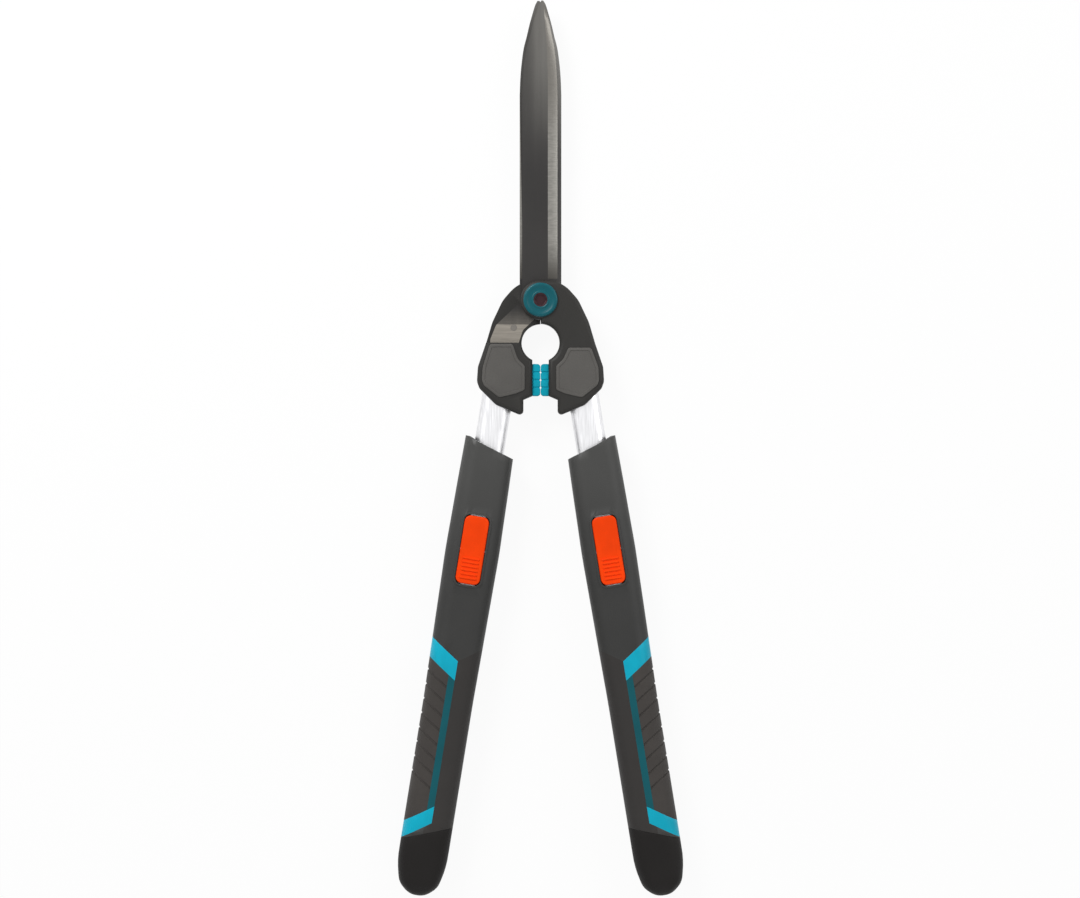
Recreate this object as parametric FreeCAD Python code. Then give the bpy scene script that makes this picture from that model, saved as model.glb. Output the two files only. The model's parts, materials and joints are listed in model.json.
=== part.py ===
import FreeCAD, Part
import math
import os

# Telescopic hedge shears, lying flat and closed. Millimetres, +Z up, blades along +Y.
# The origin is on the pivot axis, on the surface that the shears lie on.

V = FreeCAD.Vector

# Blades
blade_reach = 234.6          # pivot to tip
blade_thickness = 3.2
blade_gap = 0.1              # running gap between the two blades
cutting_edge_offset = 16.3   # pivot line to the cutting edge
spine_offset = 14.4          # pivot line to the spine
tip_offset = 1.6
tip_length = 74.0            # curved end of the blade
bevel_width = 10.5
edge_land = 0.5              # thickness left at the cutting edge
tang_round = 5.0
# Half widths of the curved end and their distances from the tip, as shares
tip_width_shares = (0.32, 0.475, 0.635, 0.785, 0.885, 0.945, 0.98)
tip_place_shares = (0.14, 0.25, 0.385, 0.50, 0.64, 0.76, 0.88)
# Tang edges as shares of the head half width and of the tang drop, from the hub down
tang_outer_shares = ((0.36, 0.07), (0.70, 0.42), (0.80, 0.68), (0.74, 1.0))
tang_inner_shares = ((0.44, 1.0), (0.335, 0.70), (0.28, 0.51), (0.06, 0.29))

# Handles, shared by the heads, tubes and grips
handle_tilt = 9.2            # degrees from the centre line
handle_offset = 21.2         # pivot to the nearest point of the handle axis
tube_width = 24.0
tube_height = 16.0
tube_round = 7.4
tube_wall = 1.8
tube_end = 436.0
telescope_travel = 200.0
slide_clearance = 0.25

# Head covers
head_depth = 12.5            # height of each cover from the middle plane
foot_drop = 91.0             # pivot to the lowest inner corner of the foot
head_wall = 3.0
head_edge_round = 3.5
hub_radius = 15.6
head_inner_gap = 13.4        # centre line to the inner edge of each foot
socket_side_wall = 2.9       # beside the tube at the mouth
socket_hip_wall = 5.7        # beside the tube where the head is widest
# Places along the head as shares of the foot drop
window_drop_share = 0.368    # centre of the open eye below the pivot
window_radius_share = 0.163
short_cover_share = 0.368    # where the cover on the other side of the tang begins
buffer_start_share = 0.55
buffer_length_share = 0.2747
tang_drop_share = 0.5055
tube_start_share = 0.5824
tube_bolt_share = 0.747
hip_station_share = 0.778
socket_outer_share = 0.835   # slanted mouth of the socket, along the handle axis
socket_middle_share = 0.951
outline_round = 9.0
socket_round = 6.0
hub_corner_share = 0.98
foot_round = 3.0
# Shoulder points as shares of the head half width and the foot drop
shoulder_shares = ((0.24, -0.166), (0.425, -0.105), (0.595, 0.0), (0.76, 0.19), (0.86, 0.375))
shoulder_round_shares = (0.15, 0.27, 0.27, 0.27, 0.27)
hip_shares = ((0.985, 0.575), (1.0, 0.70))

# Buffers between the heads
buffer_reach = 6.4           # centre line to the nose that carries the buffer
buffer_height = 18.0
buffer_gap = 0.15            # centre line to the buffer face
buffer_round = 2.5
buffer_stud_radius = 3.0
buffer_stud_length = 6.0

# Pivot
bolt_radius = 5.0
bolt_head_radius = 8.9
bolt_head_height = 2.4
bolt_socket_size = 8.0
bolt_socket_depth = 2.2
bush_radius = 7.0
bush_flat_length = 20.0
pivot_washer_radius = 8.8
pivot_washer_height = 1.2
nut_flats = 16.0
nut_height = 4.8
nut_floor = 1.6
ring_outer_radius = 13.4
ring_inner_radius = 9.4
ring_proud = 0.9
ring_opening_share = 0.61    # hole over the bolt's socket, as a share of the bolt head
ring_lip_height = 0.9        # lip over the rim of the bolt head
ring_lip_clearance = 0.2
pin_clearance = 0.06

# Grips
grip_thickness = 32.0
grip_edge_round = 12.0
grip_wall = 3.2
grip_mouth = 120.0           # handle axis station of the slanted mouth
mouth_slant = 18.0
grip_end = 475.1
cap_start = 425.0            # on the handle axis
cap_slant = -20.0
cap_joint_length = 9.0
cap_joint_wall = 2.0
fit_clearance = 0.1
collar_length = 24.0
collar_recess = 1.2
grip_half_width = 19.4
# Half widths of the grip as shares, and where they are reached, as shares of its length from the mouth
grip_width_shares = (1.005, 1.05, 1.09, 1.055, 1.0, 1.0)
grip_station_shares = (-0.03, 0.09, 0.235, 0.371, 0.572, 0.929)
grip_end_shares = ((0.80, 0.976), (0.335, 1.0))
side_round = 70.0
end_round = 13.2

# Guide ribs inside the grip
rib_thickness = 3.0
rib_station_shares = (0.11, 0.318)

# Soft insert and its coloured outline, on the outer side of each grip
insert_depth = 1.6
insert_top = 273.7
insert_bottom = 431.6
insert_slant = 15.0          # rise of the two slanted ends
insert_inner = -2.7          # handle axis to the inner edge of the outline
accent_width = 12.6          # upper slanted end
lower_accent_share = 0.87    # width of the lower slanted end
accent_line = 5.4            # long line between them
accent_end = 40.0

# Lock rocker, its pin, peg and spring
lock_station_share = 0.22923  # along the grip
lock_length = 53.5
lock_width = 19.3
lock_round = 5.0
lock_proud = 1.3
lock_thickness = 4.8
lock_edge_round = 1.2
lock_side_gap = 0.4
lock_end_gap = 1.0
pin_radius = 1.5
pin_boss_radius = 2.9
pin_height = 11.3            # above the handle axis
pin_length = 27.0
lug_length = 8.0
peg_radius = 2.4
peg_offset = 18.0            # from the pin, towards the head
peg_clearance = 0.3
peg_socket_depth = 2.6
lock_hole_radius = 3.0
lock_hole_count = 5
spring_offset = 15.0         # from the pin, towards the grip end
spring_radius = 2.8
spring_wire_radius = 0.4
spring_turns = 3.5
spring_pocket_radius = 3.7
spring_pocket_depth = 2.8
bridge_thickness = 1.0
bridge_clearance = 0.4

# Screws
screw_radius = 1.6
screw_head_radius = 3.0
screw_head_height = 2.2
screw_slot_width = 1.0
screw_slot_depth = 0.8
boss_wall = 1.3
grip_screw_offset = 15.4
# Places along the grip and sides of its screws, as shares
grip_screw_shares = ((0.093, -1.0), (0.093, 1.0), (0.371, -1.0), (0.371, 1.0), (0.6, -1.0), (0.77, -1.0))
# Head screws as shares of the head half width and foot drop
head_screw_shares = ((0.252, 0.593), (0.354, 0.879), (0.805, 0.461))
tang_rivet_shares = ((0.42, 0.235), (0.58, 0.40))
rivet_radius = 2.5
tube_bolt_radius = 2.4
cap_screw_station_share = 0.35

# Tube end plug
plug_flange = 3.0
plug_spigot = 12.0
plug_rise = 0.5

overrun = 1.0

middle = grip_thickness / 2.0
tilt = math.radians(handle_tilt)
front_level = middle + blade_gap / 2.0
lock_pitch = telescope_travel / (lock_hole_count - 1)
tube_half_width = tube_width / 2.0
tube_top = middle + tube_height / 2.0
collar_face = grip_mouth + collar_recess
grip_length = grip_end - grip_mouth
lock_station = grip_mouth + grip_length * lock_station_share
window_drop = foot_drop * window_drop_share
window_radius = foot_drop * window_radius_share
short_cover_drop = foot_drop * short_cover_share
buffer_start = foot_drop * buffer_start_share
buffer_length = foot_drop * buffer_length_share
tang_drop = foot_drop * tang_drop_share
tube_start = foot_drop * tube_start_share
tube_bolt_station = foot_drop * tube_bolt_share
hip_station = foot_drop * hip_station_share
head_half_width = ((handle_offset + tube_half_width + socket_hip_wall) * math.cos(tilt)
                   + hip_station * math.sin(tilt))


def rounded_wire(corners):
    """Closed outline in the XY plane from (x, y, radius) corners, with tangent arcs."""
    count = len(corners)
    edges = []
    starts = []
    ends = []
    for index, (x, y, radius) in enumerate(corners):
        here = V(x, y, 0)
        before = V(*corners[index - 1][:2], 0)
        after = V(*corners[(index + 1) % count][:2], 0)
        back = (before - here).normalize()
        ahead = (after - here).normalize()
        opening = back.getAngle(ahead)
        if radius <= 0 or abs(opening - math.pi) < 1e-6:
            starts.append(here)
            ends.append(here)
            edges.append(None)
            continue
        trim = radius / math.tan(opening / 2)
        first = here + back * trim
        last = here + ahead * trim
        bisector = (back + ahead).normalize()
        centre = here + bisector * (radius / math.sin(opening / 2))
        crown = centre - bisector * radius
        starts.append(first)
        ends.append(last)
        edges.append(Part.Arc(first, crown, last).toShape())
    chain = []
    for index in range(count):
        if edges[index] is not None:
            chain.append(edges[index])
        following = (index + 1) % count
        if ends[index].distanceToPoint(starts[following]) > 1e-6:
            chain.append(Part.LineSegment(ends[index], starts[following]).toShape())
    return Part.Wire(chain)


def prism(corners, low, high):
    """Upright solid over a rounded outline, from one height to another."""
    face = Part.Face(rounded_wire(corners))
    face.translate(V(0, 0, low))
    return face.extrude(V(0, 0, high - low))


def box(x_low, x_high, y_low, y_high, z_low, z_high):
    return Part.makeBox(x_high - x_low, y_high - y_low, z_high - z_low, V(x_low, y_low, z_low))


def post(radius, low, high, x=0.0, y=0.0):
    """Upright cylinder."""
    return Part.makeCylinder(radius, high - low, V(x, y, low))


def hexagon(flats, low, high):
    """Upright hexagonal prism about the pivot axis."""
    reach = flats / math.sqrt(3)
    turns = [math.radians(60 * step) for step in range(6)]
    return prism([(reach * math.cos(turn), reach * math.sin(turn), 0) for turn in turns], low, high)


def fuse(solids):
    whole = solids[0].multiFuse(solids[1:]) if len(solids) > 1 else solids[0]
    return whole.removeSplitter()


def single(shape):
    """The largest solid of a result, which leaves out slivers."""
    return max(shape.Solids, key=lambda solid: solid.Volume)


def round_rims(solid, heights, radius):
    """Round every edge that lies flat at one of the given heights."""
    rims = []
    for edge in solid.Edges:
        limits = edge.BoundBox
        flat = limits.ZLength < 1e-4
        if flat and any(abs(limits.ZMin - height) < 1e-4 for height in heights):
            rims.append(edge)
    return solid.makeFillet(radius, rims)


def place_right(shape):
    """Move a piece from the handle frame to the right handle."""
    placed = shape.copy()
    placed.translate(V(handle_offset, 0, 0))
    placed.rotate(V(0, 0, 0), V(0, 0, 1), handle_tilt)
    return placed


def place_left(shape):
    return place_right(shape).mirror(V(0, 0, 0), V(1, 0, 0))


def flip_over(shape):
    """Turn a piece of the right arm over, about the centre line, to make the left arm's."""
    turned = shape.copy()
    turned.rotate(V(0, 0, middle), V(0, 1, 0), 180)
    return turned


def arm_point(across, along):
    """A place in the right handle's frame, in the shears' frame."""
    reach = handle_offset + across
    return (reach * math.cos(tilt) + along * math.sin(tilt),
            reach * math.sin(tilt) - along * math.cos(tilt))


def oval_bar(width, height, radius, start, stop):
    """Bar of rounded section along the handle axis, between two stations."""
    across, up = width / 2.0, height / 2.0
    corners = [(across, up, radius), (-across, up, radius), (-across, -up, radius), (across, -up, radius)]
    bar = Part.Face(rounded_wire(corners)).extrude(V(0, 0, stop - start))
    bar.rotate(V(0, 0, 0), V(1, 0, 0), 90)
    bar.translate(V(0, -start, middle))
    return bar


# Blades and tangs

def blade_half(side_offset, bevel):
    """Points from the end of the straight edge to just before the tip, on one side."""
    points = []
    for width_share, place_share in reversed(list(zip(tip_width_shares, tip_place_shares))):
        across = tip_offset + (side_offset - tip_offset) * width_share
        inset = bevel * width_share
        points.append(V(across - inset, blade_reach - tip_length * place_share, 0))
    return points


def blade_outline(bevel, height):
    """Outline of the blade, with its cutting side drawn in by the bevel at that height."""
    straight_end = blade_reach - tip_length
    tip = V(tip_offset - bevel * tip_width_shares[0] / 2, blade_reach - bevel / 2, 0)
    edge_start = V(cutting_edge_offset - bevel, 0, 0)
    edge_end = V(cutting_edge_offset - bevel, straight_end, 0)
    spine_start = V(-spine_offset, 0, 0)
    spine_end = V(-spine_offset, straight_end, 0)
    edge_curve = Part.BSplineCurve()
    edge_curve.interpolate([edge_end] + blade_half(cutting_edge_offset, bevel) + [tip])
    spine_curve = Part.BSplineCurve()
    spine_curve.interpolate([spine_end] + blade_half(-spine_offset, 0.0) + [tip])
    chain = [Part.LineSegment(edge_start, edge_end).toShape(), edge_curve.toShape(),
             spine_curve.toShape(), Part.LineSegment(spine_end, spine_start).toShape(),
             Part.LineSegment(spine_start, edge_start).toShape()]
    wire = Part.Wire(Part.__sortEdges__(chain))
    wire.translate(V(0, 0, height))
    return wire


def tang_solid():
    """Flat steel hub and the tang that runs into the right head."""
    outer = [(x * head_half_width, -y * tang_drop, tang_round) for x, y in tang_outer_shares]
    inner = [(x * head_half_width, -y * tang_drop, tang_round) for x, y in tang_inner_shares]
    hub = post(hub_radius, front_level, front_level + blade_thickness)
    arm = prism([(0, 0, 0)] + outer + inner, front_level, front_level + blade_thickness)
    return hub.fuse(arm)


def front_blade():
    """Upper blade: flat underneath, with a ground bevel along its right edge."""
    land = Part.Face(blade_outline(0.0, front_level)).extrude(V(0, 0, edge_land))
    low_wire = blade_outline(0.0, front_level + edge_land)
    high_wire = blade_outline(bevel_width, front_level + blade_thickness)
    body = Part.makeLoft([low_wire, high_wire], True, True)
    blade = land.fuse(body).fuse(tang_solid())
    blade = blade.cut(post(bush_radius + pin_clearance, 0, grip_thickness))
    for x, y in tang_places():
        blade = blade.cut(post(rivet_radius + pin_clearance, 0, grip_thickness, x, y))
    return single(blade.removeSplitter())


def tang_places():
    return [(x * head_half_width, -y * foot_drop) for x, y in tang_rivet_shares]


# Heads

def head_outline():
    """Outline of the right head, without the round hub."""
    seam = buffer_gap
    shoulder = [(x * head_half_width, -y * foot_drop, round_share * foot_drop)
                for (x, y), round_share in zip(shoulder_shares, shoulder_round_shares)]
    hip = [(x * head_half_width, -y * foot_drop, outline_round) for x, y in hip_shares]
    mouth_x, mouth_y = arm_point(tube_half_width + socket_side_wall, foot_drop * socket_outer_share)
    knee_x, knee_y = arm_point(0.0, foot_drop * socket_middle_share)
    nose_top = buffer_start - head_wall / 2
    nose_bottom = buffer_start + buffer_length
    corners = [(seam, -hub_radius / 2, 0), (seam, hub_radius * hub_corner_share, 0)]
    corners += shoulder + hip
    corners += [(mouth_x, mouth_y, socket_round), (knee_x, knee_y, outline_round)]
    corners += [(head_inner_gap, -foot_drop, foot_round), (head_inner_gap, -nose_bottom - foot_round, 0)]
    corners += [(buffer_reach, -nose_bottom, 0), (buffer_reach, -nose_top, 0)]
    corners += [(buffer_reach, -window_drop, 0), (seam, -window_drop, 0)]
    return corners


def head_block(low, high, with_hub):
    """Right head between two heights, open at the eye below the pivot."""
    block = prism(head_outline(), low, high)
    if with_hub:
        block = block.fuse(post(hub_radius, low, high)).removeSplitter()
    block = block.cut(post(window_radius, low - overrun, high + overrun, 0, -window_drop))
    return single(block)


def tube_bore(clearance):
    return place_right(oval_bar(tube_width + 2 * clearance, tube_height + 2 * clearance,
                                tube_round + clearance, tube_start, tube_end))


def hollow(low, high):
    """Space inside the head between the tang and the tube socket."""
    top = -short_cover_drop - head_wall
    floor = -tube_start + head_wall
    left = window_radius + head_wall
    right = head_half_width * hip_shares[0][0] - 3 * head_wall
    return prism([(left, top, head_wall), (right - head_wall, top, head_wall),
                  (right, floor, head_wall), (left, floor, head_wall)], low, high)


def hub_cover():
    """Cover that carries the tang and the round hub, at the front of the right arm."""
    top = middle + head_depth
    cover = head_block(front_level, top, True)
    cover = round_rims(cover, (top,), head_edge_round)
    recess_floor = middle + bush_flat_length / 2
    cover = cover.cut(front_blade_space()).cut(tube_bore(0.0))
    cover = cover.cut(post(ring_outer_radius, recess_floor, top + overrun))
    cover = cover.cut(post(bush_radius + pin_clearance, 0, grip_thickness))
    return single(cover)


def front_blade_space():
    """Pocket for the blade's hub and tang."""
    high = front_level + blade_thickness
    tongue = box(-spine_offset, cutting_edge_offset, 0, hub_radius + overrun, front_level, high)
    return tang_solid().fuse(tongue)


def short_cover():
    """Cover on the other side of the tang, which stays clear of the blades' swing."""
    low = middle - head_depth
    cover = head_block(low, front_level, False)
    cover = round_rims(cover, (low,), head_edge_round)
    keep = box(0, 2 * head_half_width, -2 * foot_drop, -short_cover_drop, low - overrun, front_level)
    cover = cover.common(keep).cut(tube_bore(0.0))
    cover = cover.cut(hollow(low + head_wall, front_level + overrun))
    return single(cover)


def buffer(side):
    """Rubber buffer on the nose of one head; side is 1 for the right arm and -1 for the left."""
    low, high = middle - buffer_height / 2, middle + buffer_height / 2
    top, bottom = -buffer_start, -buffer_start - buffer_length
    pad = prism([(buffer_gap, top, buffer_round), (buffer_reach, top, 0),
                 (buffer_reach, bottom, 0), (buffer_gap, bottom, buffer_round)], low, high)
    stud = Part.makeCylinder(buffer_stud_radius, buffer_stud_length + overrun,
                             V(buffer_reach - overrun, (top + bottom) / 2, middle), V(1, 0, 0))
    whole = pad.fuse(stud).removeSplitter()
    return whole if side > 0 else whole.mirror(V(0, 0, 0), V(1, 0, 0))


def buffer_hole(side):
    hole = Part.makeCylinder(buffer_stud_radius, buffer_stud_length,
                             V(buffer_reach, -buffer_start - buffer_length / 2, middle), V(1, 0, 0))
    return hole if side > 0 else hole.mirror(V(0, 0, 0), V(1, 0, 0))


def screw(x, y, low, high, radius):
    """Upright screw with its slotted head at the bottom."""
    head = post(screw_head_radius, low, low + screw_head_height, x, y)
    head = round_rims(head, (low,), screw_slot_depth / 2)
    shank = post(radius, low, high, x, y)
    whole = head.fuse(shank).removeSplitter()
    for across, along in ((screw_slot_width, screw_head_radius), (screw_head_radius, screw_slot_width)):
        slot = box(x - across / 2, x + across / 2, y - along / 2, y + along / 2,
                   low - overrun, low + screw_slot_depth)
        whole = whole.cut(slot)
    return single(whole)


def screw_space(x, y, low, high, radius):
    """Hole and counterbore for a screw that enters from below."""
    bore = post(radius, low, high, x, y)
    seat = post(screw_head_radius + fit_clearance, low - grip_thickness, low + screw_head_height, x, y)
    return bore.fuse(seat)


def head_screw_list(side):
    """Places of the screws of one head, its tube bolt last: x, y, low, high, radius."""
    low = middle - head_depth + screw_head_height / 2
    high = middle + head_depth - head_wall
    places = [(side * x * head_half_width, -y * foot_drop, low, high, screw_radius)
              for x, y in head_screw_shares]
    bolt_x, bolt_y = arm_point(0.0, tube_bolt_station)
    places.append((side * bolt_x, bolt_y, low, high, tube_bolt_radius))
    return places


def rivets(side):
    """Rivets that hold the tang in the hub cover."""
    made = []
    high = middle + head_depth - head_wall
    for x, y in tang_places():
        made.append(post(rivet_radius, front_level, high, x, y))
    group = Part.Compound(made)
    return group if side > 0 else flip_over(group)


def inner_tube():
    """Light metal tube with the row of lock holes in its upper face."""
    tube = oval_bar(tube_width, tube_height, tube_round, tube_start, tube_end)
    bore = oval_bar(tube_width - 2 * tube_wall, tube_height - 2 * tube_wall, tube_round - tube_wall,
                    tube_start - overrun, tube_end + overrun)
    tube = tube.cut(bore)
    for index in range(lock_hole_count):
        station = lock_station - peg_offset + index * lock_pitch
        tube = tube.cut(post(lock_hole_radius, middle, tube_top + overrun, 0, -station))
    return tube.cut(post(tube_bolt_radius, 0, grip_thickness, 0, -tube_bolt_station))


def tube_plug():
    """Plug in the hidden end of the tube; its flange stops the grip from sliding off."""
    flange = oval_bar(tube_width + 2 * plug_rise, tube_height + 2 * plug_rise, tube_round + plug_rise,
                      tube_end, tube_end + plug_flange)
    spigot = oval_bar(tube_width - 2 * tube_wall, tube_height - 2 * tube_wall, tube_round - tube_wall,
                      tube_end - plug_spigot, tube_end)
    return flange.fuse(spigot).removeSplitter()


# Pivot

def pivot_bolt():
    """Bolt from the front, with a hexagonal socket."""
    seat = middle + bush_flat_length / 2 + pivot_washer_height
    head = post(bolt_head_radius, seat, seat + bolt_head_height)
    head = round_rims(head, (seat + bolt_head_height,), bolt_head_height / 3)
    shank = post(bolt_radius, nut_floor, seat)
    socket_floor = seat + bolt_head_height - bolt_socket_depth
    socket = hexagon(bolt_socket_size, socket_floor, seat + 2 * bolt_head_height)
    return head.fuse(shank).removeSplitter().cut(socket)


def pivot_bush():
    low, high = middle - bush_flat_length / 2, middle + bush_flat_length / 2
    bore = post(bolt_radius + pin_clearance, low - overrun, high + overrun)
    return post(bush_radius, low, high).cut(bore)


def pivot_washer(low, high):
    return post(pivot_washer_radius, low, high).cut(
        post(bolt_radius + pin_clearance, low - overrun, high + overrun))


def pivot_nut():
    """Closed hexagonal nut; the shears lie on its flat bottom."""
    nut = hexagon(nut_flats, 0, nut_height)
    return nut.cut(post(bolt_radius, nut_floor, nut_height + overrun))


def pivot_ring():
    """Coloured ring seated in the hub cover."""
    low, high = middle + bush_flat_length / 2, middle + head_depth + ring_proud
    ring = post(ring_outer_radius, low, high).cut(post(ring_inner_radius, low - overrun, high + overrun))
    return round_rims(ring, (high,), ring_proud / 2)


def pivot_cap_ring():
    """The front's coloured ring, whose lip covers the rim of the bolt head."""
    low = middle + bush_flat_length / 2
    lip_low = low + pivot_washer_height + bolt_head_height + ring_lip_clearance
    high = lip_low + ring_lip_height
    opening = bolt_head_radius * ring_opening_share
    ring = post(ring_outer_radius, low, high).cut(post(ring_inner_radius, low - overrun, lip_low))
    ring = ring.cut(post(opening, low, high + overrun))
    return round_rims(ring, (high,), ring_lip_height / 2)


# Grips, in the handle frame: X across the handle, outwards; the axis runs along -Y

def along_grip(share):
    """Station on the handle axis, from a share of the grip's length from its mouth."""
    return grip_mouth + grip_length * share


def grip_corners(inset):
    """Plan outline of the grip, drawn in by a wall thickness."""
    side = []
    for width_share, station_share in zip(grip_width_shares, grip_station_shares):
        side.append((grip_half_width * width_share - inset, -along_grip(station_share), side_round))
    for width_share, station_share in grip_end_shares:
        side.append((grip_half_width * width_share - inset * width_share,
                     -along_grip(station_share) + inset, end_round - inset))
    start_x, start_y, _ = side[0]
    right = [(start_x, start_y, 0)] + side[1:]
    left = [(-x, y, radius) for x, y, radius in reversed(right)]
    return right + left


def grip_body(inset):
    """Solid grip, drawn in on all sides, with its long edges rounded."""
    low, high = inset, grip_thickness - inset
    body = prism(grip_corners(inset), low, high)
    return round_rims(body, (low, high), grip_edge_round - inset)


def hand_side(station, slant):
    """Everything on the hand side of a slanted plane through the given station."""
    reach = grip_thickness
    rise = math.tan(math.radians(slant)) * reach
    corners = [(reach, -station + rise, 0), (-reach, -station - rise, 0),
               (-reach, -2 * grip_end, 0), (reach, -2 * grip_end, 0)]
    return prism(corners, -overrun, grip_thickness + overrun)


def insert_corners(border):
    """Region of the soft insert on the outer side, drawn in by the coloured outline."""
    reach = accent_end
    top, bottom = insert_top, insert_bottom
    slant = insert_slant / (grip_half_width - insert_inner)
    wide = accent_width * border
    lower_wide = wide * lower_accent_share
    thin = accent_line * border
    inner = insert_inner + thin
    top_inner = -(top + insert_slant) - wide * math.hypot(1, slant) + thin * slant
    top_outer = top_inner + (reach - inner) * slant
    bottom_inner = -(bottom - insert_slant) + lower_wide * math.hypot(1, slant) - thin * slant
    bottom_outer = bottom_inner - (reach - inner) * slant
    return [(inner, top_inner, 0), (reach, top_outer, 0),
            (reach, bottom_outer, 0), (inner, bottom_inner, 0)]


def insert_region(border):
    return prism(insert_corners(border), -overrun, grip_thickness + overrun)


def rib(station, clearance):
    """Cross rib of the grip with a hole for the tube."""
    wall = grip_body(grip_wall / 2)
    slab = box(-grip_thickness, grip_thickness, -station - rib_thickness, -station,
               -overrun, grip_thickness + overrun)
    hole = oval_bar(tube_width + 2 * clearance, tube_height + 2 * clearance, tube_round + clearance,
                    station - overrun, station + rib_thickness + overrun)
    return wall.common(slab).cut(hole)


def grip_screw_places():
    return [(side * grip_screw_offset, -along_grip(share)) for share, side in grip_screw_shares]


def lock_slot(gap_along, gap_across, low, high):
    """Plan of the lock rocker, grown by its gaps."""
    across = lock_width / 2 + gap_across
    top = -lock_station + lock_length / 2 + gap_along
    bottom = -lock_station - lock_length / 2 - gap_along
    corner = lock_round + gap_across
    return prism([(across, top, corner), (-across, top, corner),
                  (-across, bottom, corner), (across, bottom, corner)], low, high)


def grip_shells():
    """Front and back half shells of one grip."""
    outer = grip_body(0.0)
    inner = grip_body(grip_wall)
    tube_shell = outer.cut(inner).common(hand_side(grip_mouth, mouth_slant))
    tube_shell = tube_shell.cut(hand_side(cap_start, cap_slant))
    joint_bore = grip_body(grip_wall + fit_clearance + cap_joint_wall)
    joint = grip_body(grip_wall + fit_clearance).cut(joint_bore).common(hand_side(cap_start, cap_slant))
    joint = joint.cut(hand_side(cap_start + cap_joint_length, cap_slant))
    link = grip_body(grip_wall / 2).cut(joint_bore).common(hand_side(cap_start - cap_joint_wall, cap_slant))
    link = link.cut(hand_side(cap_start, cap_slant))
    pieces = [tube_shell, joint, link]
    pieces += [rib(along_grip(share), slide_clearance) for share in rib_station_shares]
    for x, y in grip_screw_places():
        boss = post(screw_radius + boss_wall, grip_wall / 2, grip_thickness - grip_wall / 2, x, y)
        pieces.append(boss.common(grip_body(grip_wall / 2)))
    pieces.append(lock_bridge())
    pieces += lock_lugs()
    whole = fuse(pieces)
    whole = whole.cut(outer.cut(grip_body(insert_depth)).common(insert_region(0.0)))
    pin_z = middle + pin_height
    whole = whole.cut(lock_slot(lock_end_gap, lock_side_gap, tube_top + bridge_clearance + bridge_thickness,
                                grip_thickness + overrun))
    whole = whole.cut(cross_pin(pin_length, pin_radius, pin_z))
    for x, y in grip_screw_places():
        whole = whole.cut(screw_space(x, y, *grip_screw_span(), screw_radius))
    whole = whole.cut(cap_screw_space())
    half = box(-grip_thickness, grip_thickness, -2 * grip_end, 0, middle, 2 * grip_thickness)
    return single(whole.common(half)), single(whole.cut(half))


def grip_screw_span():
    return grip_wall + screw_slot_depth, grip_thickness - 2 * grip_wall


def grip_screws():
    """Screws that hold the two half shells together, from the back."""
    low, high = grip_screw_span()
    return Part.Compound([screw(x, y, low, high, screw_radius) for x, y in grip_screw_places()])


def cross_pin(length, radius, height):
    """Pin across the handle at the lock."""
    return Part.makeCylinder(radius, length, V(-length / 2, -lock_station, height), V(1, 0, 0))


def lock_lugs():
    """Two lugs under the front shell that hold the lock pin."""
    lugs = []
    low = tube_top + bridge_clearance
    high = grip_thickness - grip_wall / 2
    near = lock_width / 2 + lock_side_gap
    for side in (-1, 1):
        inner, outer = sorted((side * near, side * (pin_length / 2 + pin_radius)))
        lug = box(inner, outer, -lock_station - lug_length / 2, -lock_station + lug_length / 2, low, high)
        lugs.append(lug.common(grip_body(grip_wall / 2)))
    return lugs


def lock_bridge():
    """Thin bridge over the tube, which the lock spring stands on."""
    low = tube_top + bridge_clearance
    centre = lock_station + spring_offset
    reach = spring_radius + 2 * spring_wire_radius + overrun
    slab = box(-grip_thickness, grip_thickness, -centre - reach, -centre + reach,
               low, low + bridge_thickness)
    return slab.common(grip_body(grip_wall / 2))


def guide_collar():
    """Bush in the mouth of the grip that guides the tube."""
    body = grip_body(grip_wall).common(hand_side(collar_face, mouth_slant))
    stop = collar_face + collar_length
    body = body.common(box(-grip_thickness, grip_thickness, -stop, 0, -overrun, grip_thickness + overrun))
    bore = oval_bar(tube_width + 2 * slide_clearance, tube_height + 2 * slide_clearance,
                    tube_round + slide_clearance, grip_mouth - grip_thickness, stop + overrun)
    return single(body.cut(bore))


def soft_insert():
    """Soft pad on the outer side of the grip."""
    layer = grip_body(0.0).cut(grip_body(insert_depth))
    return single(layer.common(insert_region(1.0)))


def insert_accent():
    """Coloured outline of the soft pad: two broad slanted ends and a thin line between them."""
    layer = grip_body(0.0).cut(grip_body(insert_depth))
    return single(layer.common(insert_region(0.0)).cut(insert_region(1.0)))


def cap_screw_place():
    return cap_start + cap_joint_length * cap_screw_station_share


def cap_screw_span():
    return screw_slot_depth / 2, grip_wall + fit_clearance + cap_joint_wall


def cap_screw_space():
    low, high = cap_screw_span()
    return screw_space(0, -cap_screw_place() - screw_radius, low, high, screw_radius)


def cap_screw():
    low, high = cap_screw_span()
    return screw(0, -cap_screw_place() - screw_radius, low, high, screw_radius)


def end_cap():
    """Rounded cap on the end of the grip."""
    cap = grip_body(0.0).cut(grip_body(grip_wall)).common(hand_side(cap_start, cap_slant))
    return single(cap.cut(cap_screw_space()))


# Lock

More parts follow.
